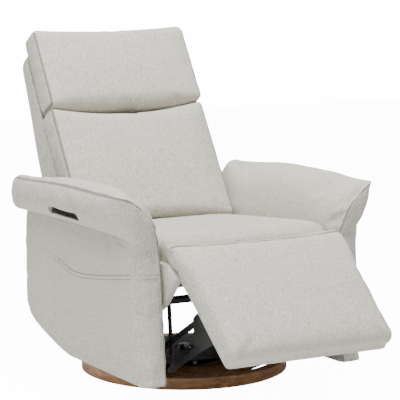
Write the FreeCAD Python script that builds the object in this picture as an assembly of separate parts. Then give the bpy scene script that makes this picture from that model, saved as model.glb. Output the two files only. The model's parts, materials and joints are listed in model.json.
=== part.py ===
"""Swivel glider recliner on a round wooden base: one STEP file for each sub-part.

Millimetres. +Z is up, the sitter faces -Y, +X is the sitter's left.
The origin is on the floor, on the swivel axis. Every shape stands in the half-reclined
pose: the back leans 32 degrees and the footrest is half way out.
"""
import FreeCAD, Part
import math
import os

# ---------------------------------------------------------------- driving dimensions
# Wooden base
grip_thickness = 3.0            # non-slip ring under the wooden ring
ring_outer_radius = 310.0
ring_width = 33.0
ring_height = 33.0
plate_side = 480.0              # square board let into the ring
plate_thickness = 15.0
plate_corner_radius = 292.0     # from the centre to each cut-off corner
plate_turn = 29.0               # turn of the square about the swivel axis
wood_gap = 0.5

# Swivel bearing
swivel_plate_side = 240.0
swivel_plate_thickness = 3.0
race_radius = 78.0
race_width = 34.0
race_height = 5.0
ball_radius = 4.0
ball_count = 24
ball_play = 0.1
cage_thickness = 2.0
king_pin_radius = 10.0
king_flange_height = 4.0
bolt_spacing = 196.0            # square bolt pattern of both swivel plates

# Hanging-link glider
sheet = 4.0                     # steel sheet of the links and side plates
layer_gap = 2.0                 # sideways gap between neighbouring sheets
stand_thickness = 3.0
stand_half_width = 200.0        # outer face of the stand's uprights
stand_half_depth = 165.0
glide_pivot_y = 130.0
glide_upper_z = 190.0
glide_lower_z = 95.0
link_half_width = 13.0
glide_pin_radius = 6.0
running_clearance = 0.08        # radial, every pin that turns in a hole
face_clearance = 0.3

# Widths across the seat
seat_half_width = 270.0
seat_arm_gap = 15.0             # cushion's side to the arm's inner face
foot_arm_gap = 22.0             # footrest's side to the plane of the arm's inner face
back_arm_gap = 23.0             # back's side to the arm's inner face

# Arms
arm_width = 79.0
arm_front_y = -390.0
arm_front_rake = 34.0           # the front edge's foot stands this far forward
arm_rear_y = 352.0
arm_rear_rake = 6.0
arm_sweep_y = 60.0              # where the swept-up rear corner starts along the bottom
arm_sweep_z = 172.0             # and where it ends on the rear edge
arm_sweep_middle = (212.0, 98.0)
arm_bottom_z = 63.0
arm_crease_z = 470.0            # where the flared top meets the flat side
arm_board_inset_x = 15.0
arm_board_thickness = 18.0
arm_edge_padding = 22.0
wing_front_y = -415.0
wing_rear_y = 345.0
wing_reach = 48.0               # the flared top stands this far past the flat side
wing_height = 132.0
wing_inner_curve = [(0.0, 0.0), (4.0, 35.0), (18.0, 75.0), (45.0, 113.0)]
wing_crest_x = 82.0             # highest line of the flared top, from the arm's inner face
wing_seam_inset = 11.0
wing_seam_drop = 20.0
wing_skirt = 2.0

# Seat
seat_front_y = -385.0
seat_rear_y = 165.0
seat_base_z = 374.0             # underside of the cushion at its front
seat_thickness = 94.0
seat_slope = 5.3
rail_thickness = 19.0
rail_height = 45.0
front_rail_height = 32.0
spring_wire = 3.8
spring_count = 5
front_rail_y = 62.0             # front rail of the seat frame, from the cushion's front edge
rear_rail_y = 505.0
arm_bolt_along = (120.0, 290.0, 490.0)
arm_bolt_drop = 22.0            # bolts below the rails' top

# Release cable, as (x, y, z) points from the finger slot to the latch
cable_radius = 3.0
cable_bore_play = 1.5
gland_depth = 6.0               # cable's end in front of the slot's back wall
cable_route_below = [(-346, -5, 410), (-347, -5, 325), (-338, -5, 245), (-300, -12, 190),
                     (-252, -40, 185), (-226, -90, 215), (-219, -150, 262)]

# Footrest, measured from the centre it turns about
foot_centre_y = -453.0
foot_centre_z = 429.0
foot_rest_turn = 51.0           # opening from closed to the pose shown
foot_surface = -8.0             # centre to the pad's front face
foot_pad_thickness = 50.0
foot_board_thickness = 18.0
foot_top = 60.0
foot_bottom = 359.0
foot_near_arm = 184.0           # centre to the upper bracket pivot
foot_far_arm = 260.0
foot_arm_angle = -45.0          # direction of the bracket pivots when closed
crank_pivot_y = -292.0
crank_pivot_z = 338.0
crank_pivot_step = 75.0         # front crank pivot to rear crank pivot
torque_tube_radius = 12.5
torque_tube_wall = 2.0
mechanism_pin_radius = 5.0
crank_half_width = 9.0
strip_inset = 4.0               # ends of the cloth strip inside the pad's sides
strip_outline = [(-6, -57), (40, -57), (66, 18), (24, 60), (6, 48)]
cheek_inset = 13.0
cheek_thickness = 8.0
cheek_outline = [(-342, 358), (-342, 262), (-357, 262), (-386, 281), (-446, 346), (-438, 356),
                 (-392, 348)]

# Side plates, as (y, z) corners from the front top corner round by the rear
plate_corners = [(-310, 356), (-280, 356), (-205, 348), (-180, 320), (-150, 272), (150, 262),
                 (186, 296), (196, 404), (232, 404), (232, 300), (200, 258), (150, 80), (108, 80),
                 (104, 150), (-104, 150), (-108, 80), (-152, 80), (-205, 190), (-310, 312)]
tab_along = (235.0, 430.0)      # tabs under the seat rails, from the cushion's front edge
tab_width = 60.0
cross_tube_radius = 12.0
cross_tube_wall = 1.8
cross_tubes = {"front_cross_tube": (-190.0, 250.0), "rear_cross_tube": (190.0, 276.0)}

# Back
back_foot_y = 173.0             # foot of the back's front face
back_foot_drop = 18.0           # foot of the back below the cushion's front top edge
back_lean = 32.0
back_pivot_y = 215.0
back_pivot_z = 380.0
back_bolt_radius = 6.0
lumbar_height = 362.0
lumbar_front = -15.0
cushion_rear = 70.0
shell_wall = 12.0
shell_drop = -130.0             # lower edge of the shell, from the foot of the back
shell_front_rise = 70.0
shell_waist_height = 240.0
shell_shoulder_height = 420.0
shell_depth_low = 198.0
shell_depth_mid = 162.0
shell_depth_high = 134.0
shell_below_head = 28.0         # top of the shell below the top of the headrest
head_gap = 10.0
head_top = 628.0
head_front = -24.0
head_cushion_rear = 52.0
head_board_thickness = 12.0
head_pivot_depth = 60.0
head_pivot_height = 385.0

# Release paddle in the flared top of the arm on the sitter's right
slot_centre_y = -5.0
slot_length = 190.0
slot_height = 22.0
slot_floor_z = 487.0
slot_wall_inset = 2.0           # slot's back wall behind the arm's flat side
slot_mouth_reach = 30.0         # mouth of the liner outside the arm's flat side
liner_wall = 2.0

# Cloth pocket on the outside of the same arm, as (y, z) corners; the mouth is the upper line
pocket_thickness = 3.0
pocket_outline = [(-300, 120), (120, 120), (104, 338), (40, 328), (-34, 318), (-99, 320),
                  (-226, 342), (-330, 362)]

# Wooden rail between the two arms, behind the mechanism
cross_rail_y = 296.0
cross_rail_z = 178.0
cross_rail_height = 65.0

# Latch that holds the torque tube
latch_pivot = (-222.0, 335.0)
latch_pin_radius = 4.0
latch_half_width = 9.0
latch_nose_root = (-262.0, 322.0)
latch_nose = [(-262, 331), (-262, 313), (-278, 306), (-280, 314)]
latch_tail = (-205.0, 305.0)
latch_tail_half_width = 6.0

# ---------------------------------------------------------------- derived sizes
ring_base = grip_thickness
ring_top = ring_base + ring_height
plate_base = ring_top - plate_thickness
lower_plate_top = ring_top + swivel_plate_thickness
ball_z = lower_plate_top + race_height + cage_thickness
upper_race_base = lower_plate_top + race_height + 2 * cage_thickness
upper_plate_base = upper_race_base + race_height
upper_plate_top = upper_plate_base + swivel_plate_thickness
stand_base_top = upper_plate_top + stand_thickness

link_x = stand_half_width + layer_gap
side_plate_x = link_x + sheet + layer_gap
crank_x = side_plate_x + sheet + layer_gap
bar_x = crank_x + sheet + layer_gap
bracket_x = bar_x + sheet + layer_gap

arm_inner_x = seat_half_width + seat_arm_gap
arm_outer_x = arm_inner_x + arm_width
foot_half_width = arm_inner_x - foot_arm_gap
back_half_width = arm_inner_x - back_arm_gap

seat_edge_z = seat_base_z + seat_thickness
back_foot_z = seat_edge_z - back_foot_drop
spring_gap = 1.0
rail_top = -seat_thickness - spring_wire - spring_gap
rail_x = arm_inner_x - rail_thickness
arm_bolt_places = [(along, rail_top - arm_bolt_drop) for along in arm_bolt_along]

shell_top = head_top - shell_below_head
slot_depth_x = arm_outer_x - slot_wall_inset
slot_mouth_x = arm_outer_x + slot_mouth_reach
gland_z = slot_floor_z - 1.0
cable_route = [(-slot_depth_x + gland_depth, slot_centre_y, gland_z)] + cable_route_below


# ---------------------------------------------------------------- small tools
def vec(x, y, z):
    return FreeCAD.Vector(x, y, z)


def box(x0, x1, y0, y1, z0, z1):
    """A block between two corners."""
    return Part.makeBox(x1 - x0, y1 - y0, z1 - z0, vec(x0, y0, z0))


def rod_x(y, z, radius, x0, x1):
    """A round bar along X."""
    low = min(x0, x1)
    return Part.makeCylinder(radius, abs(x1 - x0), vec(low, y, z), vec(1, 0, 0))


def rod_z(x, y, radius, z0, z1):
    """A round bar along Z."""
    return Part.makeCylinder(radius, z1 - z0, vec(x, y, z0), vec(0, 0, 1))


def disc_ring(outer, inner, z0, z1):
    """A flat ring about the swivel axis."""
    return rod_z(0, 0, outer, z0, z1).cut(rod_z(0, 0, inner, z0, z1))


def hexagon_z(x, y, across, z0, z1):
    """A six-sided nut blank along Z."""
    corner = across / math.sqrt(3)
    points = [vec(x + corner * math.cos(math.radians(60 * k)),
                  y + corner * math.sin(math.radians(60 * k)), z0) for k in range(7)]
    return Part.Face(Part.makePolygon(points)).extrude(vec(0, 0, z1 - z0))


def profile_x(points, x0, x1):
    """A flat outline in the side view, as (y, z) corners, extruded from x0 to x1."""
    corners = [vec(x0, y, z) for y, z in points]
    face = Part.Face(Part.makePolygon(corners + corners[:1]))
    return face.extrude(vec(x1 - x0, 0, 0))


def strap_x(points, half_width, x0, x1):
    """A flat bar with round ends that runs through the given (y, z) points."""
    body = None
    for (ya, za), (yb, zb) in zip(points, points[1:]):
        length = math.hypot(yb - ya, zb - za)
        across = ((zb - za) / length * half_width, -(yb - ya) / length * half_width)
        bar = profile_x([(ya + across[0], za + across[1]), (yb + across[0], zb + across[1]),
                         (yb - across[0], zb - across[1]), (ya - across[0], za - across[1])],
                        x0, x1)
        for y, z in ((ya, za), (yb, zb)):
            bar = bar.fuse(rod_x(y, z, half_width, x0, x1))
        body = bar if body is None else body.fuse(bar)
    return body.removeSplitter()


def mirrored(shape):
    """The shape's mirror image in the middle plane."""
    return shape.mirror(vec(0, 0, 0), vec(1, 0, 0))


def both_sides(shape):
    return [shape, mirrored(shape)]


def rounded(shape, radius, chosen=None):
    """Fillet the edges that the test picks, or all of them."""
    edges = [edge for edge in shape.Edges if chosen is None or chosen(edge)]
    return shape.makeFillet(radius, edges)


def turned_x(shape, y, z, degrees):
    """The shape turned about an axis along X."""
    copy = shape.copy()
    copy.rotate(vec(0, y, z), vec(1, 0, 0), degrees)
    return copy


def cut_all(shape, tools):
    for tool in tools:
        shape = shape.cut(tool)
    return shape


def step_to(point, direction, distance):
    return (point[0] + direction[0] * distance, point[1] + direction[1] * distance)


def save(name, shapes):
    """Write one node; several shapes become separate solids of the same node."""
    if not isinstance(shapes, list):
        shapes = [shapes]
    solids = [solid for shape in shapes for solid in shape.Solids]
    Part.makeCompound(solids).exportStep("parts/" + name + ".step")
    print(name, len(solids), "solids", round(sum(solid.Volume for solid in solids) / 1000), "cm3")


# ---------------------------------------------------------------- wooden base
def plate_outline(grow, z0, z1):
    """The square board with its four corners cut off, turned to its place."""
    half = plate_side / 2 + grow
    cut = (half * math.sqrt(2) - (plate_corner_radius + grow)) * math.sqrt(2)
    corners = [(half - cut, -half), (half, -half + cut), (half, half - cut), (half - cut, half),
               (-half + cut, half), (-half, half - cut), (-half, -half + cut), (-half + cut, -half)]
    points = [vec(x, y, z0) for x, y in corners]
    shape = Part.Face(Part.makePolygon(points + points[:1])).extrude(vec(0, 0, z1 - z0))
    shape.rotate(vec(0, 0, 0), vec(0, 0, 1), plate_turn)
    return shape


def square_pattern(spacing, turn):
    """The four corners of a bolt square, turned about the swivel axis."""
    radius = spacing / math.sqrt(2)
    angles = [math.radians(45 + 90 * k + turn) for k in range(4)]
    return [(radius * math.cos(a), radius * math.sin(a)) for a in angles]


def make_base():
    ring_inner = ring_outer_radius - ring_width
    screw_radius = 2.25
    screw_head_radius = 4.5
    screw_head_height = 2.5
    screw_depth = 12.0
    bolt_radius = 4.0
    bolt_head_radius = 9.0
    bolt_head_height = 4.0
    nut_across = 13.0
    nut_height = 6.5
    screw_spread = 6.0              # degrees each side of a corner of the board
    ring_round = 2.0

    screw_circle = (ring_inner + plate_corner_radius) / 2
    screw_places = []
    for k in range(4):
        for side in (-screw_spread, screw_spread):
            angle = math.radians(45 + 90 * k + plate_turn + side)
            screw_places.append((screw_circle * math.cos(angle), screw_circle * math.sin(angle)))
    screw_holes = [rod_z(x, y, screw_radius, plate_base - screw_depth, ring_top)
                   for x, y in screw_places]
    bolt_places = square_pattern(bolt_spacing, plate_turn)
    bolt_holes = [rod_z(x, y, bolt_radius, plate_base, lower_plate_top) for x, y in bolt_places]

    ring = disc_ring(ring_outer_radius, ring_inner, ring_base, ring_top)
    ring = rounded(ring, ring_round, lambda edge: edge.BoundBox.ZMin > ring_top - 0.1)
    ring = ring.cut(plate_outline(wood_gap, plate_base, ring_top + 1))
    save("base_ring", cut_all(ring, screw_holes))

    grip_inset = 6.0
    save("anti_slip_ring", disc_ring(ring_outer_radius - grip_inset, ring_inner + grip_inset,
                                     0, grip_thickness))

    board = plate_outline(0, plate_base, ring_top)
    save("base_plate", cut_all(board, screw_holes + bolt_holes))

    screws = []
    for x, y in screw_places:
        shank = rod_z(x, y, screw_radius, plate_base - screw_depth, ring_top)
        head = rod_z(x, y, screw_head_radius, ring_top, ring_top + screw_head_height)
        screws.append(shank.fuse(head))
    save("base_plate_screws", screws)

    bolts = []
    for x, y in bolt_places:
        head = rod_z(x, y, bolt_head_radius, plate_base - bolt_head_height, plate_base)
        shank = rod_z(x, y, bolt_radius, plate_base, lower_plate_top + nut_height)
        nut = hexagon_z(x, y, nut_across, lower_plate_top, lower_plate_top + nut_height)
        bolts += [head.fuse(shank), nut.cut(shank)]
    save("base_plate_bolts", bolts)
    return bolt_holes


# ---------------------------------------------------------------- swivel bearing
def square_plate(z0, z1, turn):
    half = swivel_plate_side / 2
    corner_radius = 20.0
    plate = rounded(box(-half, half, -half, half, z0, z1), corner_radius,
                    lambda edge: edge.Length < z1 - z0 + 0.1)
    plate.rotate(vec(0, 0, 0), vec(0, 0, 1), turn)
    return plate


def make_swivel(base_bolt_holes):
    flange_radius = king_pin_radius + 15.0
    washer_radius = king_pin_radius + 10.0
    washer_height = 2.5
    nut_across = 3 * king_pin_radius
    nut_height = 10.0
    stand_hole_radius = 30.0
    thread_end = 2.0
    bolt_radius = 4.0
    bolt_head_height = 4.5
    bolt_head_radius = 7.0
    inner = race_radius - race_width / 2
    outer = race_radius + race_width / 2
    groove = Part.makeTorus(race_radius, ball_radius + ball_play, vec(0, 0, ball_z))

    lower = square_plate(ring_top, lower_plate_top, plate_turn)
    lower = lower.fuse(disc_ring(outer, inner, lower_plate_top, lower_plate_top + race_height))
    lower = lower.removeSplitter().cut(groove)
    save("swivel_lower_plate", cut_all(lower, base_bolt_holes))

    washer_base = upper_plate_top + face_clearance
    nut_base = washer_base + washer_height
    pin = rod_z(0, 0, flange_radius, lower_plate_top, lower_plate_top + king_flange_height)
    pin = pin.fuse(rod_z(0, 0, king_pin_radius, lower_plate_top, nut_base + nut_height + thread_end))
    save("king_pin", pin.removeSplitter())
    washer = disc_ring(washer_radius, king_pin_radius, washer_base, nut_base)
    nut = hexagon_z(0, 0, nut_across, nut_base, nut_base + nut_height)
    save("king_pin_nut", [washer, nut.cut(rod_z(0, 0, king_pin_radius, nut_base,
                                                nut_base + nut_height))])

    cage_half = cage_thickness / 2
    cage_half_width = 12.0
    cage = disc_ring(race_radius + cage_half_width, race_radius - cage_half_width,
                     ball_z - cage_half, ball_z + cage_half)
    balls = []
    for k in range(ball_count):
        angle = 2 * math.pi * k / ball_count
        x = race_radius * math.cos(angle)
        y = race_radius * math.sin(angle)
        balls.append(Part.makeSphere(ball_radius, vec(x, y, ball_z)))
        cage = cage.cut(rod_z(x, y, ball_radius + face_clearance, ball_z - cage_half,
                              ball_z + cage_half))
    save("swivel_ball_cage", cage)
    save("swivel_balls", balls)

    places = square_pattern(bolt_spacing, 0)
    holes = [rod_z(x, y, bolt_radius, upper_plate_base, stand_base_top) for x, y in places]
    upper = square_plate(upper_plate_base, upper_plate_top, 0)
    upper = upper.fuse(disc_ring(outer, inner, upper_race_base, upper_plate_base))
    upper = upper.removeSplitter().cut(groove)
    upper = upper.cut(rod_z(0, 0, king_pin_radius + running_clearance,
                            upper_plate_base, upper_plate_top))
    save("swivel_upper_plate", cut_all(upper, holes))

    bolts = []
    for x, y in places:
        shank = rod_z(x, y, bolt_radius, upper_plate_base, stand_base_top + bolt_head_height)
        low_head = rod_z(x, y, bolt_head_radius, upper_plate_base - bolt_head_height,
                         upper_plate_base)
        nut = hexagon_z(x, y, 2 * bolt_head_radius - 1, stand_base_top,
                        stand_base_top + bolt_head_height)
        bolts += [shank.fuse(low_head), nut.cut(shank)]
    save("stand_bolts", bolts)
    return holes + [rod_z(0, 0, stand_hole_radius, upper_plate_top, stand_base_top)]


# ---------------------------------------------------------------- glider
def make_glider(stand_holes):
    post_width = 40.0
    arch_z = 120.0
    post_top = glide_upper_z + link_half_width + layer_gap
    inner_face = stand_half_width - stand_thickness
    outline = [(-stand_half_depth, upper_plate_top), (stand_half_depth, upper_plate_top),
               (glide_pivot_y + post_width / 2, post_top), (glide_pivot_y - post_width / 2, post_top),
               (glide_pivot_y - post_width, arch_z), (-glide_pivot_y + post_width, arch_z),
               (-glide_pivot_y + post_width / 2, post_top),
               (-glide_pivot_y - post_width / 2, post_top)]
    stand = box(-stand_half_width, stand_half_width, -stand_half_depth, stand_half_depth,
                upper_plate_top, stand_base_top)
    for upright in both_sides(profile_x(outline, inner_face, stand_half_width)):
        stand = stand.fuse(upright)
    stand = cut_all(stand.removeSplitter(), stand_holes)
    for y in (-glide_pivot_y, glide_pivot_y):
        stand = stand.cut(rod_x(y, glide_upper_z, glide_pin_radius,
                                -stand_half_width, stand_half_width))
    save("glider_stand", stand)

    hole_radius = glide_pin_radius + running_clearance
    head_radius = glide_pin_radius + 4.0
    head_x = link_x + sheet + face_clearance
    head_height = layer_gap - 2 * face_clearance
    upper_pins = []
    lower_pins = []
    for y, name in ((-glide_pivot_y, "front_glide_links"), (glide_pivot_y, "rear_glide_links")):
        link = strap_x([(y, glide_upper_z), (y, glide_lower_z)], link_half_width,
                       link_x, link_x + sheet)
        for z in (glide_upper_z, glide_lower_z):
            link = link.cut(rod_x(y, z, hole_radius, link_x, link_x + sheet))
        save(name, both_sides(link))
        pin = rod_x(y, glide_upper_z, glide_pin_radius, inner_face, head_x + head_height)
        pin = pin.fuse(rod_x(y, glide_upper_z, head_radius, head_x, head_x + head_height))
        upper_pins += both_sides(pin)
        lower_pins += both_sides(rod_x(y, glide_lower_z, glide_pin_radius,
                                       link_x - face_clearance, side_plate_x + sheet))
    save("glide_upper_pins", upper_pins)
    save("glide_lower_pins", lower_pins)


# ---------------------------------------------------------------- seat frame
def seat_place(shape):
    """From the seat's own level frame, whose origin is the cushion's top front edge."""
    placed = shape.copy()
    placed.translate(vec(0, seat_front_y, seat_edge_z))
    return turned_x(placed, seat_front_y, seat_edge_z, -seat_slope)


def make_seat():
    cushion = box(-seat_half_width, seat_half_width, 0, seat_rear_y - seat_front_y,
                  -seat_thickness, 0)
    top_round = 34.0
    cushion = rounded(cushion, top_round, lambda edge: edge.BoundBox.ZMin > -1)
    save("seat_cushion", seat_place(cushion))

    side_rail_length = 560.0
    bolt_radius = 4.0
    rails = []
    for rail in both_sides(box(rail_x, arm_inner_x, front_rail_y, side_rail_length,
                               rail_top - rail_height, rail_top)):
        for y, z in arm_bolt_places:
            rail = rail.cut(rod_x(y, z, bolt_radius, -arm_inner_x, arm_inner_x))
        rails.append(seat_place(rail))
    for y, height in ((front_rail_y, front_rail_height), (rear_rail_y, rail_height)):
        rails.append(seat_place(box(-rail_x, rail_x, y, y + rail_thickness,
                                    rail_top - height, rail_top)))
    save("seat_frame", rails)

    # Zigzag springs from rail to rail, in the plane just above the rails
    run = 44.0
    pitch = 12.0
    start_y = front_rail_y + rail_thickness / 2
    end_y = rear_rail_y + rail_thickness / 2
    loops = int((end_y - start_y) / pitch)
    z = rail_top + spring_wire / 2
    bend = pitch / 2
    edges = []
    for k in range(loops):
        side = 1 if k % 2 == 0 else -1
        y = start_y + k * pitch
        edges.append(Part.makeLine(vec(-side * run / 2, y, z), vec(side * run / 2, y, z)))
        if k < loops - 1:
            edges.append(Part.Arc(vec(side * run / 2, y, z),
                                  vec(side * (run / 2 + bend), y + bend, z),
                                  vec(side * run / 2, y + pitch, z)).toShape())
    path = Part.Wire(edges)
    circle = Part.Wire(Part.makeCircle(spring_wire / 2, vec(-run / 2, start_y, z), vec(1, 0, 0)))
    zigzag = path.makePipeShell([circle], True, True)
    clip_width = 12.0
    clip_length = 16.0
    clip_cover = 0.8
    edge_share = 0.6                # gap beside the outer springs, as a share of their pitch
    springs = []
    clips = []
    for k in range(spring_count):
        x = (k - (spring_count - 1) / 2) * 2 * seat_half_width / (spring_count + edge_share)
        copy = zigzag.copy()
        copy.translate(vec(x, 0, 0))
        springs.append(seat_place(copy))
        for y in (start_y, start_y + (loops - 1) * pitch):
            clip = box(x - clip_width / 2, x + clip_width / 2, y - clip_length / 2,
                       y + clip_length / 2, rail_top, rail_top + spring_wire + clip_cover)
            groove = rod_x(y, z, spring_wire / 2, x - clip_width, x + clip_width)
            groove = groove.fuse(box(x - clip_width, x + clip_width, y - spring_wire / 2,
                                     y + spring_wire / 2, rail_top - 1, z))
            clip = clip.cut(groove)
            clips.append(seat_place(clip))
    save("seat_springs", springs)
    save("spring_clips", clips)


# ---------------------------------------------------------------- arms
def arm_outline(inset):
    """Side view of an arm: raked front edge, square top, swept-up rear corner."""
    top = arm_crease_z - inset
    bottom = arm_bottom_z + inset
    front = arm_front_y + inset
    rear = arm_rear_y - inset
    corners = [vec(0, front - arm_front_rake, bottom), vec(0, arm_sweep_y, bottom),
               vec(0, rear - arm_rear_rake, arm_sweep_z + inset / 2), vec(0, rear, top),
               vec(0, front, top)]
    middle = vec(0, arm_sweep_middle[0] - inset / 3, arm_sweep_middle[1] + inset)
    arc = Part.Arc(corners[1], middle, corners[2])
    edges = [Part.makeLine(corners[0], corners[1]), arc.toShape(),
             Part.makeLine(corners[2], corners[3]), Part.makeLine(corners[3], corners[4]),
             Part.makeLine(corners[4], corners[0])]
    return Part.Face(Part.Wire(edges))


def arm_slab(inset, x0, x1):
    face = arm_outline(inset)
    face.translate(vec(x0, 0, 0))
    return face.extrude(vec(x1 - x0, 0, 0))


def wing_solid():
    """The flared, padded top of an arm, right of the middle plane."""
    crest = vec(arm_inner_x + wing_crest_x, 0, arm_crease_z + wing_height)
    seam = vec(arm_outer_x + wing_reach - wing_seam_inset, 0,
               arm_crease_z + wing_height - wing_seam_drop)
    belly = vec(arm_outer_x + wing_reach, 0, arm_crease_z + wing_height / 2 - wing_skirt)
    heel = vec(arm_outer_x + wing_skirt, 0, arm_crease_z)
    rise = [vec(arm_inner_x + out, 0, arm_crease_z + up) for out, up in wing_inner_curve]
    inner = Part.BSplineCurve()
    inner.interpolate(rise + [crest, seam])
    outer = Part.Arc(seam, belly, heel)
    edges = [inner.toShape(), outer.toShape(), Part.makeLine(heel, rise[0])]
    face = Part.Face(Part.Wire(edges))
    face.translate(vec(0, wing_front_y, 0))
    return face.extrude(vec(0, wing_rear_y - wing_front_y, 0))


def cable_tube(radius):
    """The sheathed cable: straight runs joined by tangent arcs."""
    points = [vec(*point) for point in cable_route]
    edges = []
    start = points[0]
    arc_share = 0.45
    radii = []
    for before, corner, after in zip(points, points[1:], points[2:]):
        run_in = (corner - before).normalize()
        run_out = (after - corner).normalize()
        turn = run_in.getAngle(run_out)
        trim = arc_share * min(corner.distanceToPoint(before), corner.distanceToPoint(after))
        radii.append(trim / math.tan(turn / 2))
        arc_start = corner - run_in * trim
        arc_end = corner + run_out * trim
        bisector = (run_out - run_in).normalize()
        middle = corner + bisector * (radii[-1] / math.cos(turn / 2) - radii[-1])
        edges.append(Part.makeLine(start, arc_start))
        edges.append(Part.Arc(arc_start, middle, arc_end).toShape())
        start = arc_end
    edges.append(Part.makeLine(start, points[-1]))
    path = Part.Wire(edges)
    first = (points[1] - points[0]).normalize()
    circle = Part.Wire(Part.makeCircle(radius, points[0], first))
    return path.makePipeShell([circle], True, True), path.Length, radii


def make_arms():
    board_x0 = arm_inner_x + arm_board_inset_x
    board_x1 = board_x0 + arm_board_thickness
    padding = arm_slab(0, arm_inner_x, arm_outer_x)
    board = arm_slab(arm_edge_padding, board_x0, board_x1)
    bolt_radius = 4.0
    nut_radius = 9.0
    nut_height = 4.0
    head_height = 5.0
    bolt_tip = board_x1 + nut_height
    holes = []
    bolts = []
    for y, z in arm_bolt_places:
        shank = rod_x(y, z, bolt_radius, rail_x, bolt_tip)
        head = rod_x(y, z, nut_radius, rail_x - head_height, rail_x)
        nut = rod_x(y, z, nut_radius, board_x1, bolt_tip).cut(shank)
        holes.append(seat_place(shank))
        holes.append(seat_place(rod_x(y, z, nut_radius, board_x1, bolt_tip)))
        bolts += both_sides(seat_place(shank.fuse(head))) + both_sides(seat_place(nut))
    save("arm_bolts", bolts)

    cable, cable_length, radii = cable_tube(cable_radius)
    expected = math.pi * cable_radius ** 2 * cable_length
    print("cable length", round(cable_length), "volume ratio", round(cable.Volume / expected, 3),
          "radii", [round(r) for r in radii])
    channel = cable_tube(cable_radius + cable_bore_play)[0]
    save("release_cable", cable)

    board = cut_all(board, holes)
    padding = cut_all(padding.cut(arm_slab(arm_edge_padding, board_x0, board_x1)), holes)
    wing = wing_solid()
    save("left_arm_board", board)
    save("left_arm_padding", padding)
    save("left_arm_wing", wing)
    save("right_arm_board", mirrored(board).cut(channel))
    save("right_arm_padding", mirrored(padding).cut(channel))

    # Finger slot with its liner, in the flared top on the sitter's right
    y0 = slot_centre_y - slot_length / 2
    y1 = slot_centre_y + slot_length / 2
    z0 = slot_floor_z
    z1 = slot_floor_z + slot_height
    far = arm_outer_x + 2 * wing_reach
    slot = box(-far, -slot_depth_x, y0, y1, z0, z1)
    right_wing = mirrored(wing)
    liner = box(-slot_mouth_x, -slot_depth_x, y0, y1, z0, z1)
    gland_radius = 7.0
    gland = rod_z(cable_route[0][0], cable_route[0][1], gland_radius, arm_crease_z,
                  gland_z + gland_depth)
    save("right_arm_wing", right_wing.cut(slot).cut(gland))
    mouth = box(-slot_mouth_x, -slot_depth_x - liner_wall, y0 + liner_wall, y1 - liner_wall,
                z0 + liner_wall, z1 - liner_wall)
    save("slot_liner", liner.fuse(gland).removeSplitter().cut(mouth).cut(cable))

    # Pocket of cloth on the outside of the same arm
    pocket = profile_x(pocket_outline, -arm_outer_x - pocket_thickness, -arm_outer_x)
    save("right_arm_pocket", pocket)

    # Wooden rail that ties the two arms together behind the mechanism
    save("rear_cross_rail", box(-arm_inner_x, arm_inner_x, cross_rail_y,
                                cross_rail_y + rail_thickness,
                                cross_rail_z, cross_rail_z + cross_rail_height))


# ---------------------------------------------------------------- footrest
def foot_place(shape):
    """From the closed pose, measured from the turning centre, to the pose shown."""
    placed = shape.copy()
    placed.translate(vec(0, foot_centre_y, foot_centre_z))
    return turned_x(placed, foot_centre_y, foot_centre_z, -foot_rest_turn)


def linkage_points():
    """Pivots of the footrest linkage in the pose shown, as (y, z)."""
    centre = (foot_centre_y, foot_centre_z)
    front = (crank_pivot_y, crank_pivot_z)
    spread = math.hypot(front[0] - centre[0], front[1] - centre[1])
    base = ((front[0] - centre[0]) / spread, (front[1] - centre[1]) / spread)
    angle = math.radians(foot_arm_angle - foot_rest_turn)
    arm = (math.cos(angle), math.sin(angle))
    rear = step_to(front, base, crank_pivot_step)
    return {"front": front, "rear": rear,
            "bracket_near": step_to(centre, arm, foot_near_arm),
            "bracket_far": step_to(centre, arm, foot_far_arm),
            "front_near": step_to(front, arm, foot_near_arm),
            "front_far": step_to(front, arm, foot_far_arm),
            "rear_near": step_to(rear, arm, foot_near_arm)}


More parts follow.
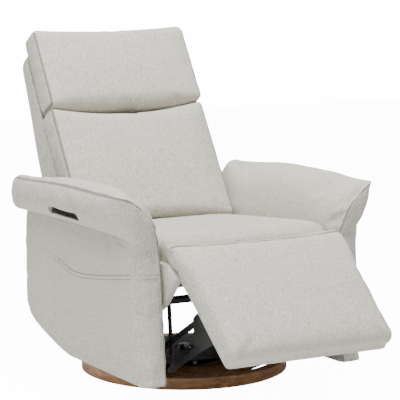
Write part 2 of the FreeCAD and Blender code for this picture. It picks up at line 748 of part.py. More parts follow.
def make_footrest():
    pivots = linkage_points()
    pin = mechanism_pin_radius
    hole = pin + running_clearance
    head_radius = pin + 3.0
    head_height = layer_gap - 2 * face_clearance
    boss = torque_tube_radius + 5.0
    pad_round = 16.0

    # Padded board
    front = foot_surface
    middle = front + foot_pad_thickness
    rear = middle + foot_board_thickness
    pad = box(-foot_half_width, foot_half_width, front, middle, -foot_bottom, -foot_top)
    pad = rounded(pad, pad_round, lambda edge: edge.BoundBox.YMax < front + 1)
    save("footrest_pad", foot_place(pad))
    board_inset = 14.0
    board = box(-foot_half_width + board_inset, foot_half_width - board_inset, middle, rear,
                -foot_bottom + board_inset, -foot_top)

    # Brackets behind the board, each with two rivets
    reach = math.radians(foot_arm_angle)
    near = (foot_near_arm * math.cos(reach), foot_near_arm * math.sin(reach))
    far = (foot_far_arm * math.cos(reach), foot_far_arm * math.sin(reach))
    flange_width = 18.0
    screw_radius = 3.0
    screw_head_radius = 6.0
    screw_head_height = 3.0
    screw_skin = 4.0                # wood left in front of the screws' tips
    flange_top = near[1] - 4.0
    flange_foot = far[1] - 70.0
    web_edge = 14.0
    web = profile_x([(rear, flange_top), (near[0], near[1] + web_edge),
                     (far[0] + web_edge, far[1]), (far[0], far[1] - web_edge),
                     (rear, flange_foot)], bracket_x, bracket_x + sheet)
    flange = box(bracket_x, bracket_x + flange_width, rear, rear + stand_thickness,
                 flange_foot, flange_top)
    bracket = web.fuse(flange).removeSplitter()
    rivets = []
    for y, z in (near, far):
        bracket = bracket.cut(rod_x(y, z, pin, bracket_x, bracket_x + sheet))
        rivet = rod_x(y, z, pin, bar_x - face_clearance, bracket_x + sheet)
        rivet = rivet.fuse(rod_x(y, z, head_radius, bracket_x + sheet,
                                 bracket_x + sheet + head_height))
        rivets.append(rivet)
    screws = []
    screw_x = bracket_x + (sheet + flange_width) / 2
    screw_length = rear + stand_thickness - middle - screw_skin
    screw_end = 16.0
    for z in (flange_top - screw_end, (flange_top + flange_foot) / 2, flange_foot + screw_end):
        place = vec(screw_x, middle + screw_skin, z)
        shank = Part.makeCylinder(screw_radius, screw_length, place, vec(0, 1, 0))
        head = Part.makeCylinder(screw_head_radius, screw_head_height,
                                 vec(screw_x, rear + stand_thickness, z), vec(0, 1, 0))
        bracket = bracket.cut(shank)
        for side in both_sides(shank):
            board = board.cut(side)
        screws.append(shank.fuse(head))
    save("footrest_board", foot_place(board))
    save("footrest_brackets", [foot_place(side) for part in [bracket] + rivets
                               for side in both_sides(part)])
    save("footrest_screws", [foot_place(side) for screw in screws for side in both_sides(screw)])

    # Torque tube and front cranks
    front_y, front_z = pivots["front"]
    tube = rod_x(front_y, front_z, torque_tube_radius, -crank_x - sheet, crank_x + sheet)
    tube = tube.cut(rod_x(front_y, front_z, torque_tube_radius - torque_tube_wall,
                          -crank_x - sheet, crank_x + sheet))
    save("footrest_torque_tube", tube)
    crank = strap_x([pivots["front"], pivots["front_near"], pivots["front_far"]],
                    crank_half_width, crank_x, crank_x + sheet)
    crank = crank.fuse(rod_x(front_y, front_z, boss, crank_x, crank_x + sheet)).removeSplitter()
    crank = crank.cut(rod_x(front_y, front_z, torque_tube_radius, crank_x, crank_x + sheet))
    pieces = []
    for key in ("front_near", "front_far"):
        y, z = pivots[key]
        crank = crank.cut(rod_x(y, z, pin, crank_x, crank_x + sheet))
        rivet = rod_x(y, z, pin, crank_x, bar_x + sheet + face_clearance)
        head_x = bar_x + sheet + face_clearance
        pieces += both_sides(rivet.fuse(rod_x(y, z, head_radius, head_x, head_x + head_height)))
    save("footrest_front_cranks", both_sides(crank) + pieces)

    # Rear cranks
    rear_y, rear_z = pivots["rear"]
    crank = strap_x([pivots["rear"], pivots["rear_near"]], crank_half_width,
                    crank_x, crank_x + sheet)
    crank = crank.cut(rod_x(rear_y, rear_z, hole, crank_x, crank_x + sheet))
    y, z = pivots["rear_near"]
    crank = crank.cut(rod_x(y, z, pin, crank_x, crank_x + sheet))
    head_x = bar_x + sheet + face_clearance
    rivet = rod_x(y, z, pin, crank_x, head_x)
    rivet = rivet.fuse(rod_x(y, z, head_radius, head_x, head_x + head_height))
    save("footrest_rear_cranks", both_sides(crank) + both_sides(rivet))

    # Bars between the cranks and the brackets
    bars = {"footrest_upper_bars": ["bracket_near", "front_near", "rear_near"],
            "footrest_lower_bars": ["bracket_far", "front_far"]}
    for name, keys in bars.items():
        bar = strap_x([pivots[key] for key in keys], crank_half_width, bar_x, bar_x + sheet)
        for key in keys:
            y, z = pivots[key]
            bar = bar.cut(rod_x(y, z, hole, bar_x, bar_x + sheet))
        save(name, both_sides(bar))

    # Soft strip that joins the seat's front edge to the pad, and the cloth cheeks beside it
    strip = profile_x(strip_outline, -foot_half_width + strip_inset, foot_half_width - strip_inset)
    cheek_x = foot_half_width - cheek_inset
    cheek = profile_x(cheek_outline, cheek_x, cheek_x + cheek_thickness)
    save("footrest_bridge", [foot_place(strip)] + both_sides(cheek))


# ---------------------------------------------------------------- mechanism plates
def make_mechanism():
    pivots = linkage_points()
    x0 = side_plate_x
    x1 = side_plate_x + sheet
    plate = profile_x(plate_corners, x0, x1)

    # Tabs that reach out under the seat rails
    bolt_radius = 4.0
    web_drop = 40.0
    tab_top = rail_top - rail_height
    tab_base = tab_top - stand_thickness
    bolts = []
    tab_holes = []
    for y in tab_along:
        tab = box(x0, arm_inner_x, y, y + tab_width, tab_base, tab_top)
        web = box(x0, x1, y, y + tab_width, tab_top - web_drop, tab_top)
        plate = plate.fuse(seat_place(tab)).fuse(seat_place(web))
        x = (rail_x + arm_inner_x) / 2
        shank = rod_z(x, y + tab_width / 2, bolt_radius, tab_base, tab_top)
        head = rod_z(x, y + tab_width / 2, 2 * bolt_radius, tab_base - bolt_radius, tab_base)
        tab_holes.append(seat_place(shank))
        bolts += both_sides(seat_place(shank.fuse(head)))
    save("mechanism_bolts", bolts)
    plate = cut_all(plate.removeSplitter(), tab_holes)

    tube_hole = torque_tube_radius + running_clearance
    plate = plate.cut(rod_x(pivots["front"][0], pivots["front"][1], tube_hole, x0, x1))
    for y in (-glide_pivot_y, glide_pivot_y):
        plate = plate.cut(rod_x(y, glide_lower_z, glide_pin_radius, x0, x1))
    plate = plate.cut(rod_x(pivots["rear"][0], pivots["rear"][1], mechanism_pin_radius, x0, x1))
    plate = plate.cut(rod_x(back_pivot_y, back_pivot_z, back_bolt_radius, x0, x1))
    right_plate = mirrored(plate).cut(rod_x(latch_pivot[0], latch_pivot[1], latch_pin_radius,
                                            -x1, -x0))
    save("left_side_plate", plate)
    save("right_side_plate", right_plate)

    for name, (y, z) in cross_tubes.items():
        tube = rod_x(y, z, cross_tube_radius, -x0, x0)
        save(name, tube.cut(rod_x(y, z, cross_tube_radius - cross_tube_wall, -x0, x0)))

    # Pivot pins that stay on the side plates
    head_radius = mechanism_pin_radius + 3.0
    head_height = layer_gap - 2 * face_clearance
    y, z = pivots["rear"]
    head_x = crank_x + sheet + face_clearance
    pin = rod_x(y, z, mechanism_pin_radius, x0, head_x)
    pins = both_sides(pin.fuse(rod_x(y, z, head_radius, head_x, head_x + head_height)))
    latch_x0 = -x0 + layer_gap
    latch_x1 = latch_x0 + sheet
    pins.append(rod_x(latch_pivot[0], latch_pivot[1], latch_pin_radius,
                      -x1, latch_x1 + face_clearance))
    paddle_y0 = slot_centre_y - slot_length / 2 + liner_wall
    paddle_y1 = slot_centre_y + slot_length / 2 - liner_wall
    knuckle_radius = 4.0
    knuckle_gap = 1.0
    paddle_x = -slot_depth_x - 2 * knuckle_radius - knuckle_gap
    paddle_z = slot_floor_z + slot_height - liner_wall - knuckle_radius - knuckle_gap
    paddle_pin_radius = 2.0
    pins.append(Part.makeCylinder(paddle_pin_radius, paddle_y1 - paddle_y0,
                                  vec(paddle_x, paddle_y0, paddle_z), vec(0, 1, 0)))
    save("pivot_pins", pins)

    hook = strap_x([latch_pivot, latch_nose_root], latch_half_width, latch_x0, latch_x1)
    hook = hook.fuse(profile_x(latch_nose, latch_x0, latch_x1))
    hook = hook.fuse(strap_x([latch_pivot, latch_tail], latch_tail_half_width,
                             latch_x0, latch_x1))
    hook = hook.removeSplitter().cut(rod_x(latch_pivot[0], latch_pivot[1],
                                           latch_pin_radius + running_clearance,
                                           latch_x0, latch_x1))
    save("latch_hook", hook)

    # Paddle inside the finger slot
    side_gap = 4.0
    blade_half = 1.5
    knuckle = Part.makeCylinder(knuckle_radius, paddle_y1 - paddle_y0 - 2 * side_gap,
                                vec(paddle_x, paddle_y0 + side_gap, paddle_z), vec(0, 1, 0))
    blade = box(paddle_x - blade_half, paddle_x + blade_half, paddle_y0 + side_gap,
                paddle_y1 - side_gap, slot_floor_z + liner_wall + blade_half, paddle_z)
    paddle = knuckle.fuse(blade).removeSplitter()
    bore = Part.makeCylinder(paddle_pin_radius + running_clearance, paddle_y1 - paddle_y0,
                             vec(paddle_x, paddle_y0, paddle_z), vec(0, 1, 0))
    save("release_paddle", paddle.cut(bore))


# ---------------------------------------------------------------- back and headrest
def back_place(shape):
    """From the back's own upright frame, whose origin is the foot of its front face."""
    placed = shape.copy()
    placed.translate(vec(0, back_foot_y, back_foot_z))
    return turned_x(placed, back_foot_y, back_foot_z, -back_lean)


def to_back_frame(y, z):
    """A point of the side view in the back's own upright frame."""
    lean = math.radians(back_lean)
    dy = y - back_foot_y
    dz = z - back_foot_z
    return (dy * math.cos(lean) - dz * math.sin(lean), dy * math.sin(lean) + dz * math.cos(lean))


def make_back():
    frame_gap = 6.0
    frame_front = cushion_rear + frame_gap
    cushion_foot = -2.0
    cushion_round = 24.0
    cushion = box(-back_half_width, back_half_width, lumbar_front, cushion_rear, cushion_foot,
                  lumbar_height)
    cushion = rounded(cushion, cushion_round, lambda edge: edge.BoundBox.YMax < lumbar_front + 1)
    save("lumbar_cushion", back_place(cushion))

    # Padded shell: rear wall, side walls and top, open to the front and below
    wall = shell_wall
    outer = profile_x([(frame_front, shell_drop + shell_front_rise), (shell_depth_low, shell_drop),
                       (shell_depth_low - 2, shell_waist_height),
                       (shell_depth_mid, shell_shoulder_height), (shell_depth_high, shell_top - 15),
                       (shell_depth_high - 14, shell_top), (frame_front + 12, shell_top),
                       (frame_front, shell_shoulder_height - 20)],
                      -back_half_width, back_half_width)
    inner = profile_x([(0, shell_drop - 1), (shell_depth_low - wall, shell_drop - 1),
                       (shell_depth_low - 2 - wall, shell_waist_height - 2),
                       (shell_depth_mid - wall, shell_shoulder_height - 3),
                       (shell_depth_high - wall, shell_top - 18),
                       (shell_depth_high - 18, shell_top - wall), (0, shell_top - wall)],
                      -back_half_width + wall, back_half_width - wall)
    save("back_shell", back_place(outer.cut(inner)))

    # Wooden frame inside the shell
    stile_x0 = bracket_x
    stile_x1 = stile_x0 + 22.0
    frame_depth = 32.0
    stile_foot = -50.0
    stile_top = shell_top - 40.0
    rail_depth = 18.0
    rail_size = 40.0
    rail_heights = (120.0, 345.0, stile_top - rail_size)
    frame = None
    for stile in both_sides(box(stile_x0, stile_x1, frame_front, frame_front + frame_depth,
                                stile_foot, stile_top)):
        frame = stile if frame is None else frame.fuse(stile)
    for z in rail_heights:
        frame = frame.fuse(box(-stile_x0, stile_x0, frame_front, frame_front + rail_depth,
                               z, z + rail_size))
    frame = frame.removeSplitter()

    # Steel brackets that turn on the side plates
    leaf_foot = 30.0
    leaf_top = 110.0
    leaf_half_width = 12.0
    flange_foot = 68.0
    flange_front = frame_front + rail_depth + 6.0
    pivot_y, pivot_z = to_back_frame(back_pivot_y, back_pivot_z)
    leaf = strap_x([(pivot_y, pivot_z), (frame_front + frame_depth / 2, leaf_foot)],
                   leaf_half_width, crank_x, crank_x + sheet)
    leaf = leaf.fuse(box(crank_x, crank_x + sheet, frame_front, frame_front + frame_depth,
                         leaf_foot, leaf_top))
    flange = box(crank_x + sheet, stile_x0, flange_front, flange_front + sheet,
                 flange_foot, leaf_top)
    leaf = leaf.fuse(flange).removeSplitter()
    leaf = leaf.cut(rod_x(pivot_y, pivot_z, back_bolt_radius + running_clearance,
                          crank_x, crank_x + sheet))
    save("back_frame", back_place(frame))
    save("back_brackets", [back_place(side) for side in both_sides(leaf)])

    head_x = crank_x + sheet + face_clearance
    head_radius = back_bolt_radius + 3.0
    head_height = 5.0
    bolt = rod_x(back_pivot_y, back_pivot_z, back_bolt_radius, side_plate_x, head_x)
    bolt = bolt.fuse(rod_x(back_pivot_y, back_pivot_z, head_radius, head_x, head_x + head_height))
    save("back_pivot_bolts", both_sides(bolt))

    # Headrest on two ratchet hinges
    base = lumbar_height + head_gap
    head_slant = 30.0
    head_round = 14.0
    cushion = profile_x([(head_cushion_rear, base), (head_cushion_rear, head_top),
                         (head_front, head_top), (head_front, base + head_slant)],
                        -back_half_width, back_half_width)
    cushion = rounded(cushion, head_round, lambda edge: edge.BoundBox.YMax < head_front + 1)
    save("headrest_cushion", back_place(cushion))
    board_half_width = back_half_width - 27.0
    board_inset = 28.0
    board_rear = head_cushion_rear + head_board_thickness
    board = box(-board_half_width, board_half_width, head_cushion_rear, board_rear,
                base + board_inset, head_top - board_inset)
    save("headrest_board", back_place(board))
    hinge_x = 118.0
    pin_radius = 4.0
    leaf_x1 = hinge_x + stand_thickness
    leaf_rear = head_pivot_depth + 17.0
    leaf_join = 440.0
    leaf_top = 500.0
    leaf_half_width = 9.0
    pivot = (head_pivot_depth, head_pivot_height)
    leaf = strap_x([pivot, (leaf_rear - leaf_half_width, leaf_join)], leaf_half_width,
                   hinge_x, leaf_x1)
    leaf = leaf.fuse(box(hinge_x, leaf_x1, board_rear, leaf_rear, leaf_join, leaf_top))
    leaf = leaf.removeSplitter()
    leaf = leaf.cut(rod_x(head_pivot_depth, head_pivot_height, pin_radius + running_clearance,
                          hinge_x, leaf_x1))
    leaf = leaf.cut(box(hinge_x, leaf_x1, 0, board_rear, base, head_top))
    save("headrest_brackets", [back_place(side) for side in both_sides(leaf)])
    ratchet_x = hinge_x - face_clearance - sheet
    ratchet_root = 371.0
    ratchet_half_width = 7.0
    ratchet = strap_x([pivot, (frame_front - 1, ratchet_root)], ratchet_half_width,
                      ratchet_x, ratchet_x + sheet)
    ratchet = ratchet.cut(box(0, hinge_x, frame_front, frame_front + frame_depth,
                              ratchet_root - frame_depth, ratchet_root + frame_depth))
    pin = rod_x(head_pivot_depth, head_pivot_height, pin_radius, ratchet_x + sheet,
                leaf_x1 + 1)
    save("headrest_ratchets", [back_place(side) for side in both_sides(ratchet.fuse(pin))])


def main():
    os.makedirs("parts", exist_ok=True)
    base_bolt_holes = make_base()
    stand_holes = make_swivel(base_bolt_holes)
    make_glider(stand_holes)
    make_seat()
    make_arms()
    make_mechanism()
    make_footrest()
    make_back()


main()
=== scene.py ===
"""Upholstery and finishes of a swivel glider recliner, in metres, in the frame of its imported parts."""
import json
import math

import bmesh
import bpy
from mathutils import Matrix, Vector


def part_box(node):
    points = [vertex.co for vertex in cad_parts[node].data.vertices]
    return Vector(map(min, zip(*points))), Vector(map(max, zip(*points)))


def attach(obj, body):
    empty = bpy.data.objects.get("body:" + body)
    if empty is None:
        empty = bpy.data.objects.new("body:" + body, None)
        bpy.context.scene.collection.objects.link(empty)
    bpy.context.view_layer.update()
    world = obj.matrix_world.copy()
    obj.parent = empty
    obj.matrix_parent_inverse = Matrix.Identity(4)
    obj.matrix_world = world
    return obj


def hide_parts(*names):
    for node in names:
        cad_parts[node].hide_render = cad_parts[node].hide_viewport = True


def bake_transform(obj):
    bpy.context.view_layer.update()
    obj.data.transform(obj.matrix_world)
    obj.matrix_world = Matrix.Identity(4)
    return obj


bl_info = {
    "name": "Swivel glider recliner",
    "version": (1, 0, 0),
    "blender": (4, 5, 0),
    "location": "View3D > Sidebar > Recliner",
    "description": "Upholstery, finishes and stage of a swivel glider recliner",
    "category": "Object",
}

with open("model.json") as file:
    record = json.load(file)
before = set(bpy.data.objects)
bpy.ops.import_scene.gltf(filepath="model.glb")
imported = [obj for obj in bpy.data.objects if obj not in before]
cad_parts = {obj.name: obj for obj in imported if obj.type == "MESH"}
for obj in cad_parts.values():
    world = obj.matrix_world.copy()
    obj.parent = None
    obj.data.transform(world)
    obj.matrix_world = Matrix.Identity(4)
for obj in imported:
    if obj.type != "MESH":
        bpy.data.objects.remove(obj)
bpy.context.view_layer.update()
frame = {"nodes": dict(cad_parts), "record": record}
FABRIC = "oat linen"


# ---------------------------------------------------------------- sizes and colours
class ReclinerSizes(bpy.types.PropertyGroup):
    puff: bpy.props.FloatProperty(
        name="Cushion puff", description="How far a panel may swell between its seams",
        default=0.014, min=0.0, max=0.03, subtype="DISTANCE", unit="LENGTH")
    slack: bpy.props.FloatProperty(
        name="Cover slack", description="Spare cloth in a cover, as a share of its size",
        default=0.015, min=0.0, max=0.1, subtype="FACTOR")
    back_lean: bpy.props.FloatProperty(
        name="Back lean", description="Lean of the back in the pose that the parts are packed in",
        default=math.radians(32), subtype="ANGLE", unit="ROTATION")
    back_foot: bpy.props.FloatVectorProperty(
        name="Back foot", description="Foot of the back's front face",
        default=(0.0, 0.173, 0.450), subtype="XYZ_LENGTH", unit="LENGTH")
    seat_slope: bpy.props.FloatProperty(
        name="Seat slope", description="Fall of the seat towards the back",
        default=math.radians(5.3), subtype="ANGLE", unit="ROTATION")
    seat_edge: bpy.props.FloatVectorProperty(
        name="Seat edge", description="Top front edge of the seat",
        default=(0.0, -0.385, 0.468), subtype="XYZ_LENGTH", unit="LENGTH")
    foot_turn: bpy.props.FloatProperty(
        name="Footrest opening", description="Opening of the footrest in the packed pose",
        default=math.radians(51), subtype="ANGLE", unit="ROTATION")
    foot_centre: bpy.props.FloatVectorProperty(
        name="Footrest centre", description="Line that the footrest turns about",
        default=(0.0, -0.453, 0.429), subtype="XYZ_LENGTH", unit="LENGTH")
    slot_edge: bpy.props.FloatProperty(
        name="Finger slot rounding", description="Radius of the finger slot's ends",
        default=0.009, min=0.001, max=0.01, subtype="DISTANCE", unit="LENGTH")


class ReclinerColours(bpy.types.PropertyGroup):
    linen: bpy.props.FloatVectorProperty(
        name="Linen", description="Ground colour of the cover", subtype="COLOR",
        default=(0.66, 0.632, 0.552), min=0.0, max=1.0)
    linen_fleck: bpy.props.FloatVectorProperty(
        name="Linen fleck", description="Darker yarn in the cover", subtype="COLOR",
        default=(0.37, 0.35, 0.292), min=0.0, max=1.0)
    walnut: bpy.props.FloatVectorProperty(
        name="Walnut", description="Light grain of the stained ring", subtype="COLOR",
        default=(0.58, 0.30, 0.135), min=0.0, max=1.0)
    walnut_dark: bpy.props.FloatVectorProperty(
        name="Walnut, dark", description="Dark grain of the stained ring", subtype="COLOR",
        default=(0.31, 0.145, 0.060), min=0.0, max=1.0)
    floor: bpy.props.FloatVectorProperty(
        name="Floor", description="Colour of the stage", subtype="COLOR",
        default=(0.92, 0.92, 0.92), min=0.0, max=1.0)


def sizes():
    return bpy.context.scene.recliner_sizes


def colours():
    return bpy.context.scene.recliner_colours


# ---------------------------------------------------------------- places
def tilted(origin, angle, along, up):
    """A side-view point of a frame that leans back by an angle, as (y, z)."""
    return (origin[1] + along * math.cos(angle) + up * math.sin(angle),
            origin[2] - along * math.sin(angle) + up * math.cos(angle))


def back_place(x, depth, height):
    y, z = tilted(sizes().back_foot, sizes().back_lean, depth, height)
    return Vector((x, y, z))


def seat_place(x, along, up):
    y, z = tilted(sizes().seat_edge, sizes().seat_slope, along, up)
    return Vector((x, y, z))


def foot_place(x, depth, up):
    y, z = tilted(sizes().foot_centre, sizes().foot_turn, depth, up)
    return Vector((x, y, z))


def curve_at(table, t):
    """A smooth curve through rows of (t, value, ...), read at t."""
    rows = [table[0]] + list(table) + [table[-1]]
    t = min(max(t, table[0][0]), table[-1][0])
    i = 1
    while i < len(rows) - 3 and t > rows[i + 1][0]:
        i += 1
    before, low, high, after = rows[i - 1], rows[i], rows[i + 1], rows[i + 2]
    span = high[0] - low[0]
    f = (t - low[0]) / span
    out = []
    for k in range(1, len(low)):
        slope_low = (high[k] - before[k]) / max(high[0] - before[0], 1e-9)
        slope_high = (after[k] - low[k]) / max(after[0] - low[0], 1e-9)
        out.append((2 * f ** 3 - 3 * f ** 2 + 1) * low[k] + (f ** 3 - 2 * f ** 2 + f) * slope_low * span
                   + (3 * f ** 2 - 2 * f ** 3) * high[k] + (f ** 3 - f ** 2) * slope_high * span)
    return out


def smooth(t):
    t = min(max(t, 0.0), 1.0)
    return t * t * (3 - 2 * t)


def softened(point, low, high, radius_low, radius_high):
    """A point of a box's surface, moved onto the same box with rounded edges."""
    core, turn, scale = [], [], []
    for q, a, b, ra, rb in zip(point, low, high, radius_low, radius_high):
        inner = min(max(q, a + ra), b - rb)
        r = ra if q < inner else rb
        core.append(inner)
        scale.append(r)
        turn.append((q - inner) / r if r > 0 else 0.0)
    length = math.sqrt(sum(n * n for n in turn))
    if length < 1e-9:
        return list(point)
    share = max(abs(n) for n in turn) / length
    return [c + s * n * share if s > 0 else q for c, s, n, q in zip(core, scale, turn, point)]


# ---------------------------------------------------------------- modelling by hand
def select_none():
    if bpy.context.mode != "OBJECT":
        bpy.ops.object.mode_set(mode="OBJECT")
    bpy.ops.object.select_all(action="DESELECT")


def only(piece):
    select_none()
    piece.select_set(True)
    bpy.context.view_layer.objects.active = piece


def named(name):
    piece = bpy.context.view_layer.objects.active
    piece.name = name
    piece.data.name = name
    return piece


def block(name, cuts):
    """A cube two units across, cut evenly along each axis as a pattern's grid."""
    select_none()
    bpy.ops.mesh.primitive_cube_add(size=2, location=(0, 0, 0))
    piece = named(name)
    bpy.ops.object.mode_set(mode="EDIT")
    bpy.ops.mesh.select_mode(type="EDGE")
    for axis, count in enumerate(cuts):
        bpy.ops.mesh.select_all(action="DESELECT")
        mesh = bmesh.from_edit_mesh(piece.data)
        for edge in mesh.edges:
            run = edge.verts[1].co - edge.verts[0].co
            if abs(run[axis]) > 0.9 * run.length:
                edge.select_set(True)
        bmesh.update_edit_mesh(piece.data)
        bpy.ops.mesh.subdivide(number_cuts=count)
    bpy.ops.object.mode_set(mode="OBJECT")
    return piece


def shape(piece, local, place, seams):
    """Moves a block's vertices to a piece's shape, and marks its cloth and its seams; a seam's mark also sets the
    painted shade along it.
    """
    mesh = piece.data
    seam = mesh.attributes.new("seam", "FLOAT", "POINT")
    cloth = mesh.attributes.new("cloth", "FLOAT_VECTOR", "POINT")
    pins = []
    for vertex in mesh.vertices:
        u, v, w = vertex.co
        spot = local(u, v, w)
        cloth.data[vertex.index].vector = spot
        depth = seams(u, v, w)
        seam.data[vertex.index].value = depth
        if depth > 0:
            pins.append(vertex.index)
        vertex.co = place(*spot)
    group = piece.vertex_groups.new(name="seams")
    group.add(pins, 1.0, "REPLACE")
    crease = mesh.attributes.new("crease_edge", "FLOAT", "EDGE")
    for edge in mesh.edges:
        a, b = edge.vertices
        if min(seam.data[a].value, seam.data[b].value) > 0.7:
            crease.data[edge.index].value = 0.55
    mesh.update()
    return piece


def outward(piece):
    only(piece)
    bpy.ops.object.mode_set(mode="EDIT")
    bpy.ops.mesh.select_all(action="SELECT")
    bpy.ops.mesh.remove_doubles(threshold=0.00005)
    bpy.ops.mesh.normals_make_consistent(inside=False)
    bpy.ops.object.mode_set(mode="OBJECT")


def stuff(piece, cap, pressure=4.0):
    """Blows the cover up between its pinned seams, and keeps each point within cap."""
    outward(piece)
    rest = [vertex.co.copy() for vertex in piece.data.vertices]
    cloth = piece.modifiers.new("cloth", "CLOTH")
    kit = cloth.settings
    kit.quality = 6
    kit.mass = 0.3
    kit.tension_stiffness = 15
    kit.compression_stiffness = 15
    kit.shear_stiffness = 5
    kit.bending_stiffness = 0.6
    kit.use_pressure = True
    kit.uniform_pressure_force = pressure
    kit.vertex_group_mass = "seams"
    kit.pin_stiffness = 1.0
    kit.shrink_min = -sizes().slack
    kit.effector_weights.gravity = 0
    cloth.point_cache.frame_start = 1
    cloth.point_cache.frame_end = 20
    for step in range(1, 21):
        bpy.context.scene.frame_set(step)
    only(piece)
    bpy.ops.object.modifier_apply(modifier="cloth")
    bpy.context.scene.frame_set(1)
    for vertex, start in zip(piece.data.vertices, rest):
        move = vertex.co - start
        if move.length > 1e-6:
            vertex.co = start + move * (cap * math.tanh(move.length / cap) / move.length)
    piece.data.update()


def sewn(piece, levels):
    """Smooths the cover with its seams kept as narrow valleys."""
    only(piece)
    divide = piece.modifiers.new("fine", "SUBSURF")
    divide.levels = levels
    divide.render_levels = levels
    bpy.ops.object.modifier_apply(modifier="fine")
    mesh = piece.data
    normals = [vertex.normal.copy() for vertex in mesh.vertices]
    seam = mesh.attributes["seam"]
    for vertex, normal in zip(mesh.vertices, normals):
        pull = smooth((seam.data[vertex.index].value - 0.35) / 0.65)
        vertex.co -= normal * 0.0028 * pull
    mesh.update()
    outward(piece)
    bpy.ops.object.shade_smooth()


def upholster(piece, body=None):
    piece.data.materials.clear()
    piece.data.materials.append(bpy.data.materials[FABRIC])
    if body:
        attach(piece, body)


# ---------------------------------------------------------------- finishes
class Nodes:
    """Places and joins shader nodes in a tree."""

    def __init__(self, tree):
        self.tree = tree
        self.column = 0

    def add(self, kind, settings=None, **inputs):
        node = self.tree.nodes.new(kind)
        node.location = (self.column * 180, 0)
        self.column += 1
        for key, value in (settings or {}).items():
            setattr(node, key, value)
        for key, value in inputs.items():
            socket = node.inputs[int(key[1:])] if key[0] == "i" and key[1:].isdigit() \
                else node.inputs[key.replace("_", " ")]
            if isinstance(value, bpy.types.NodeSocket):
                self.tree.links.new(value, socket)
            else:
                socket.default_value = value
        return node

    def math(self, operation, a, b=0.0, c=None):
        extra = {} if c is None else {"i2": c}
        return self.add("ShaderNodeMath", {"operation": operation}, i0=a, i1=b, **extra).outputs[0]

    def noise(self, vector, scale, detail=2.0, roughness=0.5):
        return self.add("ShaderNodeTexNoise", None, Vector=vector, Scale=scale, Detail=detail,
                        Roughness=roughness).outputs["Fac"]

    def stretched(self, vector, x, y, z):
        return self.add("ShaderNodeVectorMath", {"operation": "MULTIPLY"}, i0=vector,
                        i1=(x, y, z)).outputs[0]

    def mix(self, factor, a, b):
        node = self.add("ShaderNodeMix", {"data_type": "RGBA"}, i0=factor, i6=a, i7=b)
        return node.outputs[2]


def group(name, inputs, outputs):
    tree = bpy.data.node_groups.new(name, "ShaderNodeTree")
    for label, kind, default in inputs:
        socket = tree.interface.new_socket(name=label, in_out="INPUT", socket_type=kind)
        if default is not None:
            socket.default_value = default
    for label, kind in outputs:
        tree.interface.new_socket(name=label, in_out="OUTPUT", socket_type=kind)
    kit = Nodes(tree)
    return kit, kit.add("NodeGroupInput").outputs, kit.add("NodeGroupOutput").inputs


def make_weave_group():
    """Plain weave of slubby yarn: how dark a yarn is, and how high it stands."""
    kit, given, out = group(
        "Slub weave",
        [("Vector", "NodeSocketVector", None), ("Yarn", "NodeSocketFloat", 0.0011),
         ("Wobble", "NodeSocketFloat", 0.35)],
        [("Fleck", "NodeSocketFloat"), ("Cloud", "NodeSocketFloat"), ("Height", "NodeSocketFloat")])
    parts = kit.add("ShaderNodeSeparateXYZ", None, Vector=given["Vector"]).outputs
    sway = kit.noise(given["Vector"], 130.0, 2.0)
    across = kit.math("ADD", parts[0], parts[1])
    along = kit.math("MULTIPLY_ADD", parts[1], 0.7, parts[2])
    bend = kit.math("MULTIPLY", kit.math("MULTIPLY", sway, given["Wobble"]), given["Yarn"])
    turns = kit.math("DIVIDE", math.tau, given["Yarn"])
    warp = kit.math("SINE", kit.math("MULTIPLY", kit.math("ADD", across, bend), turns))
    weft = kit.math("SINE", kit.math("MULTIPLY", kit.math("ADD", along, bend), turns))
    crossing = kit.math("MULTIPLY", warp, weft)
    slub_up = kit.noise(kit.stretched(given["Vector"], 620.0, 620.0, 95.0), 1.0, 2.0, 0.6)
    slub_side = kit.noise(kit.stretched(given["Vector"], 120.0, 120.0, 620.0), 1.0, 2.0, 0.6)
    strand = kit.noise(kit.stretched(given["Vector"], 300.0, 300.0, 110.0), 1.0, 1.5, 0.6)
    mixed = kit.math("MULTIPLY_ADD", slub_up, 0.27, kit.math("MULTIPLY", slub_side, 0.18))
    mixed = kit.math("MULTIPLY_ADD", strand, 0.55, mixed)
    fleck = kit.math("MULTIPLY_ADD", crossing, 0.09, mixed)
    ramp = kit.add("ShaderNodeMapRange", None, Value=fleck, i1=0.43, i2=0.58)
    cloud = kit.noise(given["Vector"], 16.0, 3.0, 0.55)
    height = kit.math("MULTIPLY_ADD", crossing, 0.35, mixed)
    for label, value in (("Fleck", ramp.outputs[0]), ("Cloud", cloud), ("Height", height)):
        kit.tree.links.new(value, out[label])
    return kit.tree


def make_scuff_group():
    """Handling marks and dust that lighten or dull a hard surface in patches."""
    kit, given, out = group(
        "Scuffs", [("Vector", "NodeSocketVector", None), ("Size", "NodeSocketFloat", 40.0)],
        [("Mask", "NodeSocketFloat"), ("Height", "NodeSocketFloat")])
    patches = kit.noise(given["Vector"], given["Size"], 5.0, 0.65)
    mask = kit.add("ShaderNodeMapRange", None, Value=patches, i1=0.42, i2=0.72).outputs[0]
    peel = kit.noise(given["Vector"], 900.0, 1.0)
    kit.tree.links.new(mask, out["Mask"])
    kit.tree.links.new(peel, out["Height"])
    return kit.tree


